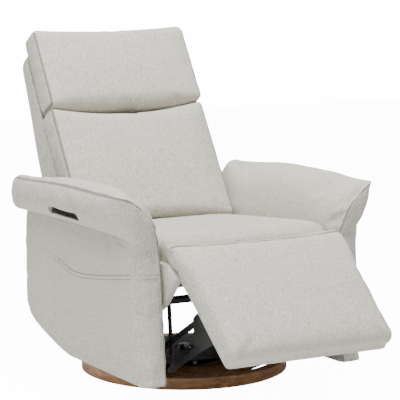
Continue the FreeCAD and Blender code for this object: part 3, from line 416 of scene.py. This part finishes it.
def make_grain_group():
    """Long wood grain along the first axis, with pores."""
    kit, given, out = group(
        "Wood grain", [("Vector", "NodeSocketVector", None), ("Scale", "NodeSocketFloat", 1.0)],
        [("Grain", "NodeSocketFloat"), ("Pores", "NodeSocketFloat")])
    scaled = kit.add("ShaderNodeVectorMath", {"operation": "SCALE"}, i0=given["Vector"],
                     Scale=given["Scale"]).outputs[0]
    rings = kit.noise(kit.stretched(scaled, 9.0, 95.0, 95.0), 1.0, 4.0, 0.6)
    fine = kit.noise(kit.stretched(scaled, 40.0, 900.0, 900.0), 1.0, 2.0, 0.6)
    grain = kit.add("ShaderNodeMapRange", None, Value=rings, i1=0.36, i2=0.64).outputs[0]
    pores = kit.add("ShaderNodeMapRange", None, Value=fine, i1=0.56, i2=0.70).outputs[0]
    kit.tree.links.new(grain, out["Grain"])
    kit.tree.links.new(pores, out["Pores"])
    return kit.tree


def material(name, roughness, metallic=0.0, **constants):
    made = bpy.data.materials.new(name)
    made.use_nodes = True
    kit = Nodes(made.node_tree)
    shader = made.node_tree.nodes["Principled BSDF"]
    shader.inputs["Roughness"].default_value = roughness
    shader.inputs["Metallic"].default_value = metallic
    for key, value in constants.items():
        shader.inputs[key.replace("_", " ")].default_value = value
    return kit, shader


def feed(kit, shader, **links):
    for key, value in links.items():
        kit.tree.links.new(value, shader.inputs[key.replace("_", " ")])


def bump(kit, height, strength, distance):
    return kit.add("ShaderNodeBump", None, Strength=strength, Distance=distance,
                   Height=height).outputs["Normal"]


def placed_group(kit, tree, **inputs):
    node = kit.add("ShaderNodeGroup", {"node_tree": tree})
    for key, value in inputs.items():
        if isinstance(value, bpy.types.NodeSocket):
            kit.tree.links.new(value, node.inputs[key])
        else:
            node.inputs[key].default_value = value
    return node.outputs


def rgba(colour, share=1.0):
    return (colour[0] * share, colour[1] * share, colour[2] * share, 1.0)


def make_linen(weave):
    kit, shader = material(FABRIC, 0.88, Sheen_Weight=0.12, Sheen_Roughness=0.5)
    shader.inputs["Specular IOR Level"].default_value = 0.2
    place = kit.add("ShaderNodeAttribute", {"attribute_name": "cloth"}).outputs["Vector"]
    seam = kit.add("ShaderNodeAttribute", {"attribute_name": "seam"}).outputs["Fac"]
    yarn = placed_group(kit, weave, Vector=place)
    ground = kit.mix(kit.math("MULTIPLY", yarn["Fleck"], 0.85), rgba(colours().linen),
                     rgba(colours().linen_fleck))
    toned = kit.mix(kit.math("MULTIPLY", yarn["Cloud"], 0.24), ground, rgba(colours().linen_fleck, 1.1))
    # Painted shade: the seam value darkens the cloth along seams, the arm's soft fold and the pocket's mouth lines,
    # as the shade in their grooves.
    line = kit.add("ShaderNodeMapRange", {"interpolation_type": "SMOOTHSTEP"}, Value=seam,
                   i1=0.28, i2=0.85).outputs[0]
    seam_shaded_tone = kit.mix(kit.math("MULTIPLY", line, 0.85), toned, rgba(colours().linen_fleck, 0.42))
    height = kit.math("SUBTRACT", kit.math("MULTIPLY", yarn["Height"], 0.35),
                      kit.math("MULTIPLY", line, 1.4))
    rough = kit.math("MULTIPLY_ADD", yarn["Fleck"], 0.08, 0.84)
    feed(kit, shader, Base_Color=seam_shaded_tone, Roughness=rough, Normal=bump(kit, height, 0.55, 0.0009))


def make_walnut(grain):
    """Ring of eight bent segments: the grain runs along each, with a thin glue line between."""
    kit, shader = material("stained walnut", 0.42, Coat_Weight=0.25)
    shader.inputs["Coat Roughness"].default_value = 0.22
    place = kit.add("ShaderNodeTexCoord").outputs["Object"]
    parts = kit.add("ShaderNodeSeparateXYZ", None, Vector=place).outputs
    angle = kit.math("ARCTAN2", parts[1], parts[0])
    share = kit.math("DIVIDE", angle, math.tau / 8)
    index = kit.math("FLOOR", share)
    turn = kit.math("MULTIPLY", kit.math("ADD", index, 0.5), -math.tau / 8)
    turned = kit.add("ShaderNodeVectorRotate", {"rotation_type": "Z_AXIS"}, Vector=place,
                     Angle=turn).outputs[0]
    swapped = kit.add("ShaderNodeVectorRotate", {"rotation_type": "Z_AXIS"}, Vector=turned,
                      Angle=math.pi / 2).outputs[0]
    shifted = kit.add("ShaderNodeCombineXYZ", None, X=index, Y=index, Z=index).outputs[0]
    moved = kit.add("ShaderNodeVectorMath", {"operation": "ADD"}, i0=swapped, i1=shifted).outputs[0]
    wood = placed_group(kit, grain, Vector=moved)
    edge = kit.math("ABSOLUTE", kit.math("SUBTRACT", kit.math("FRACT", share), 0.5))
    joint = kit.add("ShaderNodeMapRange", None, Value=edge, i1=0.4965, i2=0.499).outputs[0]
    tone = kit.mix(wood["Grain"], rgba(colours().walnut_dark), rgba(colours().walnut))
    pored = kit.mix(kit.math("MULTIPLY", wood["Pores"], 0.55), tone, rgba(colours().walnut_dark, 0.5))
    lined = kit.mix(kit.math("MULTIPLY", joint, 0.6), pored, rgba(colours().walnut_dark, 0.4))
    rough = kit.math("MULTIPLY_ADD", wood["Grain"], -0.12, 0.46)
    feed(kit, shader, Base_Color=lined, Roughness=rough, Normal=bump(kit, wood["Pores"], -0.25, 0.0003))


def make_board(grain):
    kit, shader = material("raw plywood", 0.72)
    place = kit.add("ShaderNodeTexCoord").outputs["Object"]
    laid = kit.add("ShaderNodeVectorRotate", {"rotation_type": "Z_AXIS"}, Vector=place,
                   Angle=math.pi / 2).outputs[0]
    wood = placed_group(kit, grain, Vector=laid, Scale=0.7)
    tone = kit.mix(wood["Grain"], (0.36, 0.24, 0.135, 1), (0.60, 0.45, 0.29, 1))
    pored = kit.mix(kit.math("MULTIPLY", wood["Pores"], 0.4), tone, (0.25, 0.15, 0.08, 1))
    rough = kit.math("MULTIPLY_ADD", wood["Pores"], 0.15, 0.68)
    feed(kit, shader, Base_Color=pored, Roughness=rough, Normal=bump(kit, wood["Pores"], -0.3, 0.0003))


def make_hard(name, scuffs, dark, light, rough_low, rough_high, metallic, size, height=0.08):
    kit, shader = material(name, rough_low, metallic)
    place = kit.add("ShaderNodeTexCoord").outputs["Object"]
    marks = placed_group(kit, scuffs, Vector=place, Size=size)
    tone = kit.mix(marks["Mask"], dark, light)
    rough = kit.math("MULTIPLY_ADD", marks["Mask"], rough_high - rough_low, rough_low)
    feed(kit, shader, Base_Color=tone, Roughness=rough, Normal=bump(kit, marks["Height"], height, 0.0003))


def make_zinc(scuffs):
    kit, shader = material("zinc plate", 0.34, 0.9)
    place = kit.add("ShaderNodeTexCoord").outputs["Object"]
    cells = kit.add("ShaderNodeTexVoronoi", None, Vector=place, Scale=190.0).outputs["Color"]
    spangle = kit.add("ShaderNodeSeparateColor", None, Color=cells).outputs[0]
    marks = placed_group(kit, scuffs, Vector=place, Size=70.0)
    tone = kit.mix(spangle, (0.40, 0.40, 0.41, 1), (0.56, 0.56, 0.57, 1))
    dulled = kit.mix(kit.math("MULTIPLY", marks["Mask"], 0.4), tone, (0.30, 0.29, 0.28, 1))
    rough = kit.math("MULTIPLY_ADD", marks["Mask"], 0.2, 0.3)
    feed(kit, shader, Base_Color=dulled, Roughness=rough, Normal=bump(kit, marks["Height"], 0.05, 0.0002))


def finish_of_slot():
    return {"upholstery": FABRIC, "stained_wood": "stained walnut", "frame_wood": "raw plywood",
            "black_steel": "black paint", "zinc_steel": "zinc plate",
            "black_plastic": "black plastic", "grey_plastic": "grey plastic",
            "rubber": "black rubber"}


class RECLINER_OT_finishes(bpy.types.Operator):
    """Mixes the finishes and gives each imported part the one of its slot"""
    bl_idname = "recliner.finishes"
    bl_label = "Finishes"

    def execute(self, context):
        weave, scuffs, grain = make_weave_group(), make_scuff_group(), make_grain_group()
        make_linen(weave)
        make_walnut(grain)
        make_board(grain)
        make_hard("black paint", scuffs, (0.006, 0.006, 0.0065, 1), (0.014, 0.014, 0.015, 1),
                  0.5, 0.64, 0.0, 36.0)
        make_hard("black plastic", scuffs, (0.014, 0.014, 0.014, 1), (0.03, 0.03, 0.03, 1),
                  0.5, 0.68, 0.0, 60.0, 0.2)
        make_hard("grey plastic", scuffs, (0.13, 0.126, 0.112, 1), (0.17, 0.165, 0.148, 1),
                  0.5, 0.66, 0.0, 60.0, 0.2)
        make_hard("black rubber", scuffs, (0.016, 0.016, 0.016, 1), (0.035, 0.034, 0.032, 1),
                  0.78, 0.92, 0.0, 50.0, 0.2)
        make_zinc(scuffs)
        finish = finish_of_slot()
        for part in frame["record"]["subparts"]:
            mesh = frame["nodes"][part["node"]].data
            mesh.materials.clear()
            mesh.materials.append(bpy.data.materials[finish[part["material_slot"]]])
        return {"FINISHED"}


# ---------------------------------------------------------------- back
def side_seams(u, v, w):
    """Seams round the two side panels of a cushion."""
    return 1.0 if abs(u) > 0.999 and (abs(v) > 0.999 or abs(w) > 0.999) else 0.0


class RECLINER_OT_headrest(bpy.types.Operator):
    """Headrest cushion, whose lower edge sags over the lumbar cushion"""
    bl_idname = "recliner.headrest"
    bl_label = "Headrest"

    def execute(self, context):
        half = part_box("headrest_cushion")[1].x + 0.005
        low, high = (-half, -0.026, 0.372), (half, 0.052, 0.640)
        soft_low, soft_high = (0.008, 0.022, 0.014), (0.008, 0.022, 0.032)

        def local(u, v, w):
            corner = [(a + b) / 2 + n * (b - a) / 2 for n, a, b in zip((u, v, w), low, high)]
            x, y, z = softened(corner, low, high, soft_low, soft_high)
            bow = 1 - (x / half) ** 2
            z -= 0.022 * bow * smooth((0.47 - z) / 0.09)
            if y > 0.03:
                y += (0.0145 + 0.009 * smooth((0.62 - z) / 0.2)) * smooth((y - 0.03) / 0.02)
            if y < 0.02:
                y -= 0.009 * bow * smooth(1 - abs(z - 0.49) / 0.14)
            return x, y, z

        piece = block("headrest_cover", (38, 5, 18))
        shape(piece, local, back_place, side_seams)
        stuff(piece, sizes().puff * 0.8)
        sewn(piece, 2)
        upholster(piece, "headrest")
        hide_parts("headrest_cushion")
        return {"FINISHED"}


class RECLINER_OT_lumbar(bpy.types.Operator):
    """Lumbar cushion, fullest above the seat"""
    bl_idname = "recliner.lumbar"
    bl_label = "Lumbar cushion"

    def execute(self, context):
        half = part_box("lumbar_cushion")[1].x + 0.006
        low, high = (-half, -0.014, 0.000), (half, 0.0735, 0.3725)
        soft_low, soft_high = (0.008, 0.026, 0.014), (0.008, 0.020, 0.018)

        def local(u, v, w):
            corner = [(a + b) / 2 + n * (b - a) / 2 for n, a, b in zip((u, v, w), low, high)]
            x, y, z = softened(corner, low, high, soft_low, soft_high)
            bow = 1 - (x / half) ** 2
            z -= 0.022 * bow * smooth((z - 0.25) / 0.1)
            z -= 0.036 * smooth((0.045 - y) / 0.05) * smooth((0.10 - z) / 0.09)
            if y < 0.03:
                y -= 0.012 * bow * smooth(1 - abs(z - 0.16) / 0.22)
            return x, y, z

        piece = block("lumbar_cover", (38, 5, 26))
        shape(piece, local, back_place, side_seams)
        stuff(piece, sizes().puff)
        sewn(piece, 2)
        upholster(piece, "back")
        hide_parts("lumbar_cushion")
        return {"FINISHED"}


class RECLINER_OT_back_shell(bpy.types.Operator):
    """Padded shell behind the cushions, open to the front and below"""
    bl_idname = "recliner.back_shell"
    bl_label = "Back shell"

    def execute(self, context):
        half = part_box("back_shell")[1].x + 0.003
        low, high = (-half, 0.0, -0.130), (half, 1.0, 0.600)
        front = [(-0.130, 0.0745), (0.400, 0.0745), (0.520, 0.073), (0.600, 0.070)]
        rear = [(-0.130, 0.196), (0.240, 0.194), (0.420, 0.162), (0.600, 0.132)]
        wall = 0.012

        def local(u, v, w):
            z = low[2] + (w + 1) / 2 * (high[2] - low[2])
            depth = curve_at(rear, z)[0] - curve_at(front, z)[0]
            corner = (u * half, (v + 1) / 2 * depth, z)
            x, y, z = softened(corner, (-half, 0, low[2]), (half, depth, high[2]),
                               (0.024, 0, 0), (0.024, 0.034, 0.034))
            if w < 0.0:
                z += 0.070 * (1 - y / depth) * smooth((-0.0 - w) / 0.6)
            return x, curve_at(front, z)[0] + y, z

        def seams(u, v, w):
            return 1.0 if v > 0.999 and abs(abs(u) - 0.9) < 0.012 else 0.0

        piece = block("back_shell_cover", (39, 9, 46))
        only(piece)
        bpy.ops.object.mode_set(mode="EDIT")
        bpy.ops.mesh.select_mode(type="FACE")
        bpy.ops.mesh.select_all(action="DESELECT")
        mesh = bmesh.from_edit_mesh(piece.data)
        for face in mesh.faces:
            middle = face.calc_center_median()
            face.select_set(middle.y < -0.999 or middle.z < -0.999)
        bmesh.update_edit_mesh(piece.data)
        bpy.ops.mesh.delete(type="FACE")
        bpy.ops.object.mode_set(mode="OBJECT")
        shape(piece, local, back_place, seams)
        outward(piece)
        wall_kit = piece.modifiers.new("wall", "SOLIDIFY")
        wall_kit.thickness = wall
        wall_kit.offset = -1
        bpy.ops.object.modifier_apply(modifier="wall")
        only(piece)
        sewn(piece, 1)
        upholster(piece, "back")
        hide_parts("back_shell")
        return {"FINISHED"}


# ---------------------------------------------------------------- seat and footrest
class RECLINER_OT_seat(bpy.types.Operator):
    """Seat cushion with a full front roll"""
    bl_idname = "recliner.seat"
    bl_label = "Seat cushion"

    def execute(self, context):
        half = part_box("seat_cushion")[1].x
        length, thick = 0.550, 0.094
        low, high = (-half, 0.0, -thick), (half, length, 0.0)
        soft_low, soft_high = (0.026, 0.040, 0.046), (0.026, 0.02, 0.034)

        def local(u, v, w):
            corner = [(a + b) / 2 + n * (b - a) / 2 for n, a, b in zip((u, v, w), low, high)]
            x, y, z = softened(corner, low, high, soft_low, soft_high)
            y -= 0.014 * (1 - (x / half) ** 2) * smooth((0.10 - y) / 0.10)
            if z > -0.05:
                z += 0.011 * (1 - abs(x / half) ** 5) * smooth((y + 0.01) / 0.10) * smooth((length + 0.04 - y) / 0.1)
            return x, y, z

        piece = block("seat_cover", (38, 38, 7))
        shape(piece, local, seat_place, lambda u, v, w: 0.0)
        rest_group = piece.vertex_groups["seams"]
        rest_group.add([vertex.index for vertex in piece.data.vertices
                        if piece.data.attributes["cloth"].data[vertex.index].vector[2] < -0.080],
                       1.0, "REPLACE")
        stuff(piece, 0.006)
        sewn(piece, 2)
        upholster(piece, "chair")
        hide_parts("seat_cushion")
        return {"FINISHED"}


class RECLINER_OT_footrest(bpy.types.Operator):
    """Footrest pad whose cover runs on to the seat's front edge, and its two side cheeks"""
    bl_idname = "recliner.footrest"
    bl_label = "Footrest"

    def execute(self, context):
        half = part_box("footrest_pad")[1].x
        top, bottom = 0.064, -0.364
        step, board_rear = 0.004, 0.0625
        face = [(bottom, 0.000), (-0.30, -0.008), (-0.24, -0.012), (-0.16, -0.016), (-0.09, -0.017),
                (-0.03, -0.013), (0.02, -0.006), (0.045, 0.003), (0.064, 0.014)]
        rear = [(bottom, 0.042), (-0.06, 0.042), (-0.03, 0.046), (0.02, 0.060), (0.05, 0.050),
                (0.064, 0.040)]

        def local(u, v, w):
            z = bottom + (w + 1) / 2 * (top - bottom)
            f, r = curve_at(face, z)[0], curve_at(rear, z)[0]
            side = half + 0.005 + 0.016 * smooth((z + 0.12) / 0.16)
            share = min((v + 1) / 1.333, 1.0)
            corner = (u * side, share * (r - f), z)
            x, y, z = softened(corner, (-side, 0, bottom), (side, r - f, top),
                               (0.020, 0.024, 0.026), (0.020, 0.006, 0.004))
            x *= 1 - (v + 1) / 2 * (0.005 + 0.010 * smooth((z + 0.12) / 0.16)) / side
            if v > 0.4:
                z += step * smooth((bottom + 0.05 - z) / 0.05)
                y += (0.0012 if v < 0.9 else board_rear - 0.042) * smooth((0.02 - z) / 0.06)
            z -= 0.017 * (1 - (x / side) ** 2) * smooth(z / 0.064)
            return x, f + y, z

        def seams(u, v, w):
            if v > 0.999:
                return 0.3 if abs(u) > 0.999 or abs(w) > 0.999 else 0.1
            joined = abs(w - 1 + 4 / 33) < 0.01 and v < -0.999
            return 1.0 if joined or (w > 0.999 and abs(u) > 0.999) else 0.0

        piece = block("footrest_cover", (38, 5, 32))
        rim = {vertex.index for vertex in piece.data.vertices
               if vertex.co.y > 0.999 and (abs(vertex.co.x) > 0.999 or vertex.co.z < -0.999)}
        shape(piece, local, foot_place, seams)
        crease = piece.data.attributes["crease_edge"]
        for edge in piece.data.edges:
            if rim.issuperset(edge.vertices):
                crease.data[edge.index].value = 0.9
        stuff(piece, 0.008)
        sewn(piece, 2)
        upholster(piece)
        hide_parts("footrest_pad", "footrest_bridge")
        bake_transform(piece)
        self.cheeks()
        return {"FINISHED"}

    def cheeks(self):
        """Cloth gussets that close the gap beside the seat's front edge."""
        x0 = 0.262
        outline = [(-0.342, 0.398), (-0.342, 0.262), (-0.357, 0.262), (-0.386, 0.281), (-0.450, 0.352),
                   (-0.4525, 0.365), (-0.410, 0.398)]
        for side, name in ((1, "left_cheek"), (-1, "right_cheek")):
            select_none()
            bpy.ops.mesh.primitive_circle_add(vertices=len(outline), fill_type="NGON", location=(0, 0, 0))
            piece = named(name)
            for vertex, (y, z) in zip(piece.data.vertices, outline):
                vertex.co = Vector((side * x0, y, z))
            bpy.ops.object.mode_set(mode="EDIT")
            bpy.ops.mesh.select_all(action="SELECT")
            bpy.ops.mesh.extrude_region_move(TRANSFORM_OT_translate={"value": (side * 0.020, 0, 0)})
            bpy.ops.mesh.select_all(action="SELECT")
            bpy.ops.mesh.normals_make_consistent(inside=False)
            bpy.ops.mesh.bevel(offset=0.0016, segments=2)
            bpy.ops.object.mode_set(mode="OBJECT")
            cloth = piece.data.attributes.new("cloth", "FLOAT_VECTOR", "POINT")
            for vertex in piece.data.vertices:
                cloth.data[vertex.index].vector = vertex.co
            piece.data.attributes.new("seam", "FLOAT", "POINT")
            bpy.ops.object.shade_smooth_by_angle(angle=math.radians(40))
            upholster(piece, "chair")


# ---------------------------------------------------------------- arms
# Each row: height along the section, inner x and z, outer x and z
SECTION_MIDDLE = [
    (0.00, 0.2845, 0.062, 0.362, 0.062), (0.15, 0.2845, 0.125, 0.365, 0.125),
    (0.50, 0.2845, 0.320, 0.367, 0.320), (0.68, 0.2845, 0.420, 0.366, 0.430),
    (0.75, 0.286, 0.458, 0.3655, 0.466), (0.80, 0.290, 0.488, 0.392, 0.480),
    (0.86, 0.297, 0.520, 0.409, 0.508), (0.92, 0.307, 0.550, 0.412, 0.538),
    (0.97, 0.322, 0.577, 0.408, 0.565), (1.00, 0.336, 0.592, 0.401, 0.583)]
SECTION_LIP = [
    (0.00, 0.2845, 0.062, 0.362, 0.062), (0.15, 0.2845, 0.125, 0.364, 0.125),
    (0.50, 0.2845, 0.320, 0.367, 0.320), (0.68, 0.2850, 0.420, 0.3675, 0.426),
    (0.75, 0.2875, 0.456, 0.371, 0.460), (0.80, 0.2925, 0.480, 0.378, 0.481),
    (0.86, 0.300, 0.505, 0.386, 0.509), (0.92, 0.310, 0.529, 0.393, 0.540),
    (0.97, 0.322, 0.549, 0.398, 0.568), (1.00, 0.334, 0.562, 0.401, 0.586)]
SECTION_FRONT = [
    (0.00, 0.292, 0.062, 0.362, 0.062), (0.15, 0.292, 0.125, 0.363, 0.125),
    (0.50, 0.292, 0.320, 0.366, 0.320), (0.68, 0.2945, 0.418, 0.366, 0.424),
    (0.75, 0.299, 0.449, 0.3695, 0.456), (0.80, 0.304, 0.470, 0.374, 0.478),
    (0.86, 0.313, 0.495, 0.380, 0.508), (0.92, 0.323, 0.517, 0.387, 0.540),
    (0.97, 0.331, 0.531, 0.393, 0.567), (1.00, 0.337, 0.539, 0.398, 0.587)]
ARM_FRONT = [(0.062, -0.424), (0.25, -0.405), (0.42, -0.391), (0.47, -0.396), (0.53, -0.409),
             (0.61, -0.413)]
ARM_FOOT = [(-0.45, 0.063), (0.00, 0.063), (0.066, 0.066), (0.169, 0.089), (0.304, 0.134),
            (0.352, 0.176)]
ARM_ROWS = [(0.0, 0.0), (0.04, 0.007), (0.08, 0.018), (0.12, 0.032), (0.18, 0.075), (0.86, 0.93),
            (0.94, 0.978), (1.0, 1.0)]
CREASE = 0.75
ARM_CUTS = (9, 48, 39)


def arm_local(u, v, w):
    """A point of an arm's cover on the sitter's left."""
    s = (w + 1) / 2
    along = curve_at(ARM_ROWS, (v + 1) / 2)[0]
    run = along * 0.765
    lip = smooth(run / 0.020)
    body = smooth((run - 0.012) / 0.17)
    rows = [curve_at(table, s) for table in (SECTION_FRONT, SECTION_LIP, SECTION_MIDDLE)]
    x_in, z_in, x_out, z_out = [a + (b - a) * lip + (c - b) * body for a, b, c in zip(*rows)]
    share = (u + 1) / 2
    x = x_in + (x_out - x_in) * share
    z = z_in + (z_out - z_in) * share
    front = curve_at(ARM_FRONT, z)[0]
    rear = 0.351 - 0.003 * smooth((z - 0.44) / 0.08)
    y = front + (rear - front) * along
    flare = smooth((s - 0.70) / 0.12)
    if w > 0.999:
        z += (0.014 * lip + 0.006 * body) * (1 - u * u)
    z -= 0.046 * flare * smooth((y + 0.06) / 0.42) * (1 - 0.68 * share)
    tail = 1 - smooth((rear - y) / 0.03)
    rim = max(0.0, 1 - (y - front) / 0.024)
    x -= 0.020 * (1 - math.sqrt(max(0.0, 1 - rim * rim))) * smooth(u) * (1 - 0.9 * flare)
    x += ((x_in + x_out) / 2 - x) * (0.20 - 0.12 * flare) * tail
    z -= 0.006 * tail * flare * smooth((w - 0.4) / 0.6)
    if z < 0.47:
        foot = curve_at(ARM_FOOT, y)[0]
        z = foot + (z - 0.062) * (0.47 - foot) / 0.408
    return x, y, z


def arm_seams(u, v, w):
    s = (w + 1) / 2
    if v < -0.999 and (u < -0.999 or w > 0.999):
        return 1.0
    if u > 0.999 and w > 0.999:
        return 1.0
    # The outer panel's soft fold at CREASE is no seam: its mark gives it a shallow groove and a band of painted
    # shade.
    if u > 0.999 and abs(s - CREASE) < 0.5 / (ARM_CUTS[2] + 1) + 1e-6:
        return 0.55 * smooth((v + 0.80) / 0.2)
    if w < -0.999 and (abs(u) > 0.999 or abs(v) > 0.999):
        return 0.6
    if v > 0.999 and abs(u) > 0.999:
        return 0.8
    return 0.0


def cut_slot(piece):
    """Opens the finger slot through the cover, down to its liner."""
    low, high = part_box("slot_liner")
    low, high = Vector(low), Vector(high)
    low.z = 0.487
    low.x -= 0.04
    select_none()
    bpy.ops.mesh.primitive_cube_add(size=1, location=(0, 0, 0))
    tool = named("slot_tool")
    for vertex in tool.data.vertices:
        vertex.co = Vector([(a + b) / 2 + c * (b - a) for c, a, b in zip(vertex.co, low, high)])
    bpy.ops.object.mode_set(mode="EDIT")
    bpy.ops.mesh.select_mode(type="EDGE")
    bpy.ops.mesh.select_all(action="DESELECT")
    mesh = bmesh.from_edit_mesh(tool.data)
    for edge in mesh.edges:
        run = edge.verts[1].co - edge.verts[0].co
        edge.select_set(abs(run.x) > 0.9 * run.length)
    bmesh.update_edit_mesh(tool.data)
    bpy.ops.mesh.bevel(offset=sizes().slot_edge, segments=5)
    bpy.ops.object.mode_set(mode="OBJECT")
    only(piece)
    cutter = piece.modifiers.new("slot", "BOOLEAN")
    cutter.operation = "DIFFERENCE"
    cutter.object = tool
    cutter.solver = "EXACT"
    bpy.ops.object.modifier_apply(modifier="slot")
    bpy.data.objects.remove(tool)


class RECLINER_OT_arms(bpy.types.Operator):
    """Covers of both arms: front panel, inner panel that runs on over the top, outer panel"""
    bl_idname = "recliner.arms"
    bl_label = "Arm covers"

    def execute(self, context):
        for side, word in ((1, "left"), (-1, "right")):
            piece = block(f"{word}_arm_cover", ARM_CUTS)
            shape(piece, arm_local, lambda x, y, z: Vector((side * x, y, z)), arm_seams)
            stuff(piece, 0.009)
            sewn(piece, 2)
            if side < 0:
                cut_slot(piece)
            upholster(piece, "chair")
            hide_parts(f"{word}_arm_padding", f"{word}_arm_wing")
        return {"FINISHED"}


class RECLINER_OT_pocket(bpy.types.Operator):
    """Cloth pocket on the outside of the arm with the finger slot"""
    bl_idname = "recliner.pocket"
    bl_label = "Arm pocket"

    def execute(self, context):
        arm = bpy.data.objects["right_arm_cover"]
        foot, rear_y, front_y = 0.122, 0.118, -0.383
        mouth = [(-0.400, 0.377), (-0.377, 0.374), (-0.226, 0.350), (-0.150, 0.339), (-0.099, 0.333),
                 (-0.034, 0.329), (0.000, 0.332), (0.033, 0.339), (0.100, 0.356), (0.118, 0.360)]
        rows = [0.0, 0.004, 0.008, 0.012, 0.016, 0.020, 0.026]
        rows += [0.026 + 0.0115 * step for step in range(1, 19)]
        columns = 58
        side_run = rear_y - front_y
        front_run = 0.064
        select_none()
        bpy.ops.mesh.primitive_grid_add(x_subdivisions=columns, y_subdivisions=len(rows) - 1,
                                        size=2, location=(0, 0, 0))
        piece = named("pocket_cloth")
        mesh = piece.data
        seam = mesh.attributes.new("seam", "FLOAT", "POINT")
        cloth = mesh.attributes.new("cloth", "FLOAT_VECTOR", "POINT")
        for vertex in mesh.vertices:
            run = (vertex.co.x + 1) / 2 * (side_run + front_run)
            row = round((1 - vertex.co.y) / 2 * (len(rows) - 1))
            y = rear_y - run
            top = curve_at(mouth, max(y, -0.400))[0]
            share = rows[row] / rows[-1]
            z = top - rows[row] if row < 7 else top - 0.026 - (top - 0.026 - foot) \
                * (rows[row] - 0.026) / (rows[-1] - 0.026)
            cloth.data[vertex.index].vector = (0.0, run, z)
            # Rows 0 and 3 mark the pocket's mouth and its topstitch line, drawn as lines of painted shade.
            seam.data[vertex.index].value = 0.75 if row in (0, 3) else 0.0
            if run <= side_run:
                vertex.co = Vector((-0.41, y, z))
            else:
                vertex.co = Vector((-0.362 + (run - side_run), curve_at(ARM_FRONT, z)[0] - 0.03, z))
        mesh.update()
        only(piece)
        wrap = piece.modifiers.new("wrap", "SHRINKWRAP")
        wrap.target = arm
        wrap.wrap_method = "NEAREST_SURFACEPOINT"
        wrap.wrap_mode = "OUTSIDE_SURFACE"
        wrap.offset = 0.0009
        bpy.ops.object.modifier_apply(modifier="wrap")
        outward(piece)
        for vertex in mesh.vertices:
            _, run, z = cloth.data[vertex.index].vector
            edge = max(smooth((0.012 - run) / 0.009), smooth((foot + 0.010 - z) / 0.008))
            vertex.co -= vertex.normal * 0.0022 * edge
        thick = piece.modifiers.new("cloth thickness", "SOLIDIFY")
        thick.thickness = 0.0009
        thick.offset = 0
        bpy.ops.object.modifier_apply(modifier="cloth thickness")
        only(piece)
        bpy.ops.object.shade_smooth()
        piece.data.materials.clear()
        piece.data.materials.append(bpy.data.materials[FABRIC])
        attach(piece, "chair")
        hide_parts("right_arm_pocket")
        return {"FINISHED"}


# ---------------------------------------------------------------- stage
class RECLINER_OT_stage(bpy.types.Operator):
    """Pale floor, soft lights and the camera"""
    bl_idname = "recliner.stage"
    bl_label = "Stage"

    def execute(self, context):
        select_none()
        bpy.ops.mesh.primitive_plane_add(size=14, location=(0, 0, 0))
        floor = named("floor")
        kit, shader = material("floor", 0.9)
        place = kit.add("ShaderNodeTexCoord").outputs["Object"]
        tone = kit.mix(kit.noise(place, 3.0), rgba(colours().floor), rgba(colours().floor, 0.985))
        feed(kit, shader, Base_Color=tone)
        seen = kit.add("ShaderNodeLightPath").outputs["Is Camera Ray"]
        shader.inputs["Emission Color"].default_value = (1, 1, 1, 1)
        feed(kit, shader, Emission_Strength=kit.math("MULTIPLY", seen, 13.0))
        floor.data.materials.append(bpy.data.materials["floor"])
        world = bpy.data.worlds.new("studio")
        context.scene.world = world
        world.use_nodes = True
        sky = Nodes(world.node_tree)
        backdrop = world.node_tree.nodes["Background"]
        backdrop.inputs["Color"].default_value = (1, 1, 1, 1)
        seen = sky.add("ShaderNodeLightPath").outputs["Is Camera Ray"]
        world.node_tree.links.new(sky.math("MULTIPLY_ADD", seen, 15.0, 0.40), backdrop.inputs["Strength"])
        for name, spot, size, power in (("key", (-0.7, -0.8, 4.1), 2.4, 350.0),
                                        ("fill", (-4.2, -0.4, 1.8), 2.5, 28.0),
                                        ("rim", (0.8, 3.0, 2.8), 2.0, 30.0)):
            select_none()
            bpy.ops.object.light_add(type="AREA", location=spot)
            light = bpy.context.view_layer.objects.active
            light.name = name
            light.data.energy = power
            light.data.size = size
            light.rotation_euler = (Vector((0, 0, 0.4)) - Vector(spot)).to_track_quat("-Z", "Y").to_euler()
        select_none()
        eye, aim = Vector((-2.73915, -4.91156, 1.32331)), Vector((0.04168, -0.02371, 0.50761))
        bpy.ops.object.camera_add(location=eye, rotation=(aim - eye).to_track_quat("-Z", "Y").to_euler())
        camera = bpy.context.view_layer.objects.active
        camera.name = "camera"
        camera.data.lens = 171
        camera.data.sensor_width = 36
        context.scene.camera = camera
        return {"FINISHED"}


STEPS = (RECLINER_OT_finishes, RECLINER_OT_headrest, RECLINER_OT_lumbar, RECLINER_OT_back_shell,
         RECLINER_OT_seat, RECLINER_OT_footrest, RECLINER_OT_arms, RECLINER_OT_pocket,
         RECLINER_OT_stage)


class RECLINER_PT_panel(bpy.types.Panel):
    """Buttons for each piece of the recliner"""
    bl_idname = "RECLINER_PT_panel"
    bl_label = "Recliner"
    bl_space_type = "VIEW_3D"
    bl_region_type = "UI"
    bl_category = "Recliner"

    def draw(self, context):
        for group_ in (context.scene.recliner_sizes, context.scene.recliner_colours):
            for key in group_.__annotations__:
                self.layout.prop(group_, key)
        for step in STEPS:
            self.layout.operator(step.bl_idname)


CLASSES = (ReclinerSizes, ReclinerColours, *STEPS, RECLINER_PT_panel)


def register():
    for kind in CLASSES:
        bpy.utils.register_class(kind)
    bpy.types.Scene.recliner_sizes = bpy.props.PointerProperty(type=ReclinerSizes)
    bpy.types.Scene.recliner_colours = bpy.props.PointerProperty(type=ReclinerColours)


def unregister():
    del bpy.types.Scene.recliner_colours
    del bpy.types.Scene.recliner_sizes
    for kind in reversed(CLASSES):
        bpy.utils.unregister_class(kind)


def main():
    register()
    for step in STEPS:
        family, action = step.bl_idname.split(".")
        getattr(getattr(bpy.ops, family), action)()


if __name__ == "__main__":
    main()
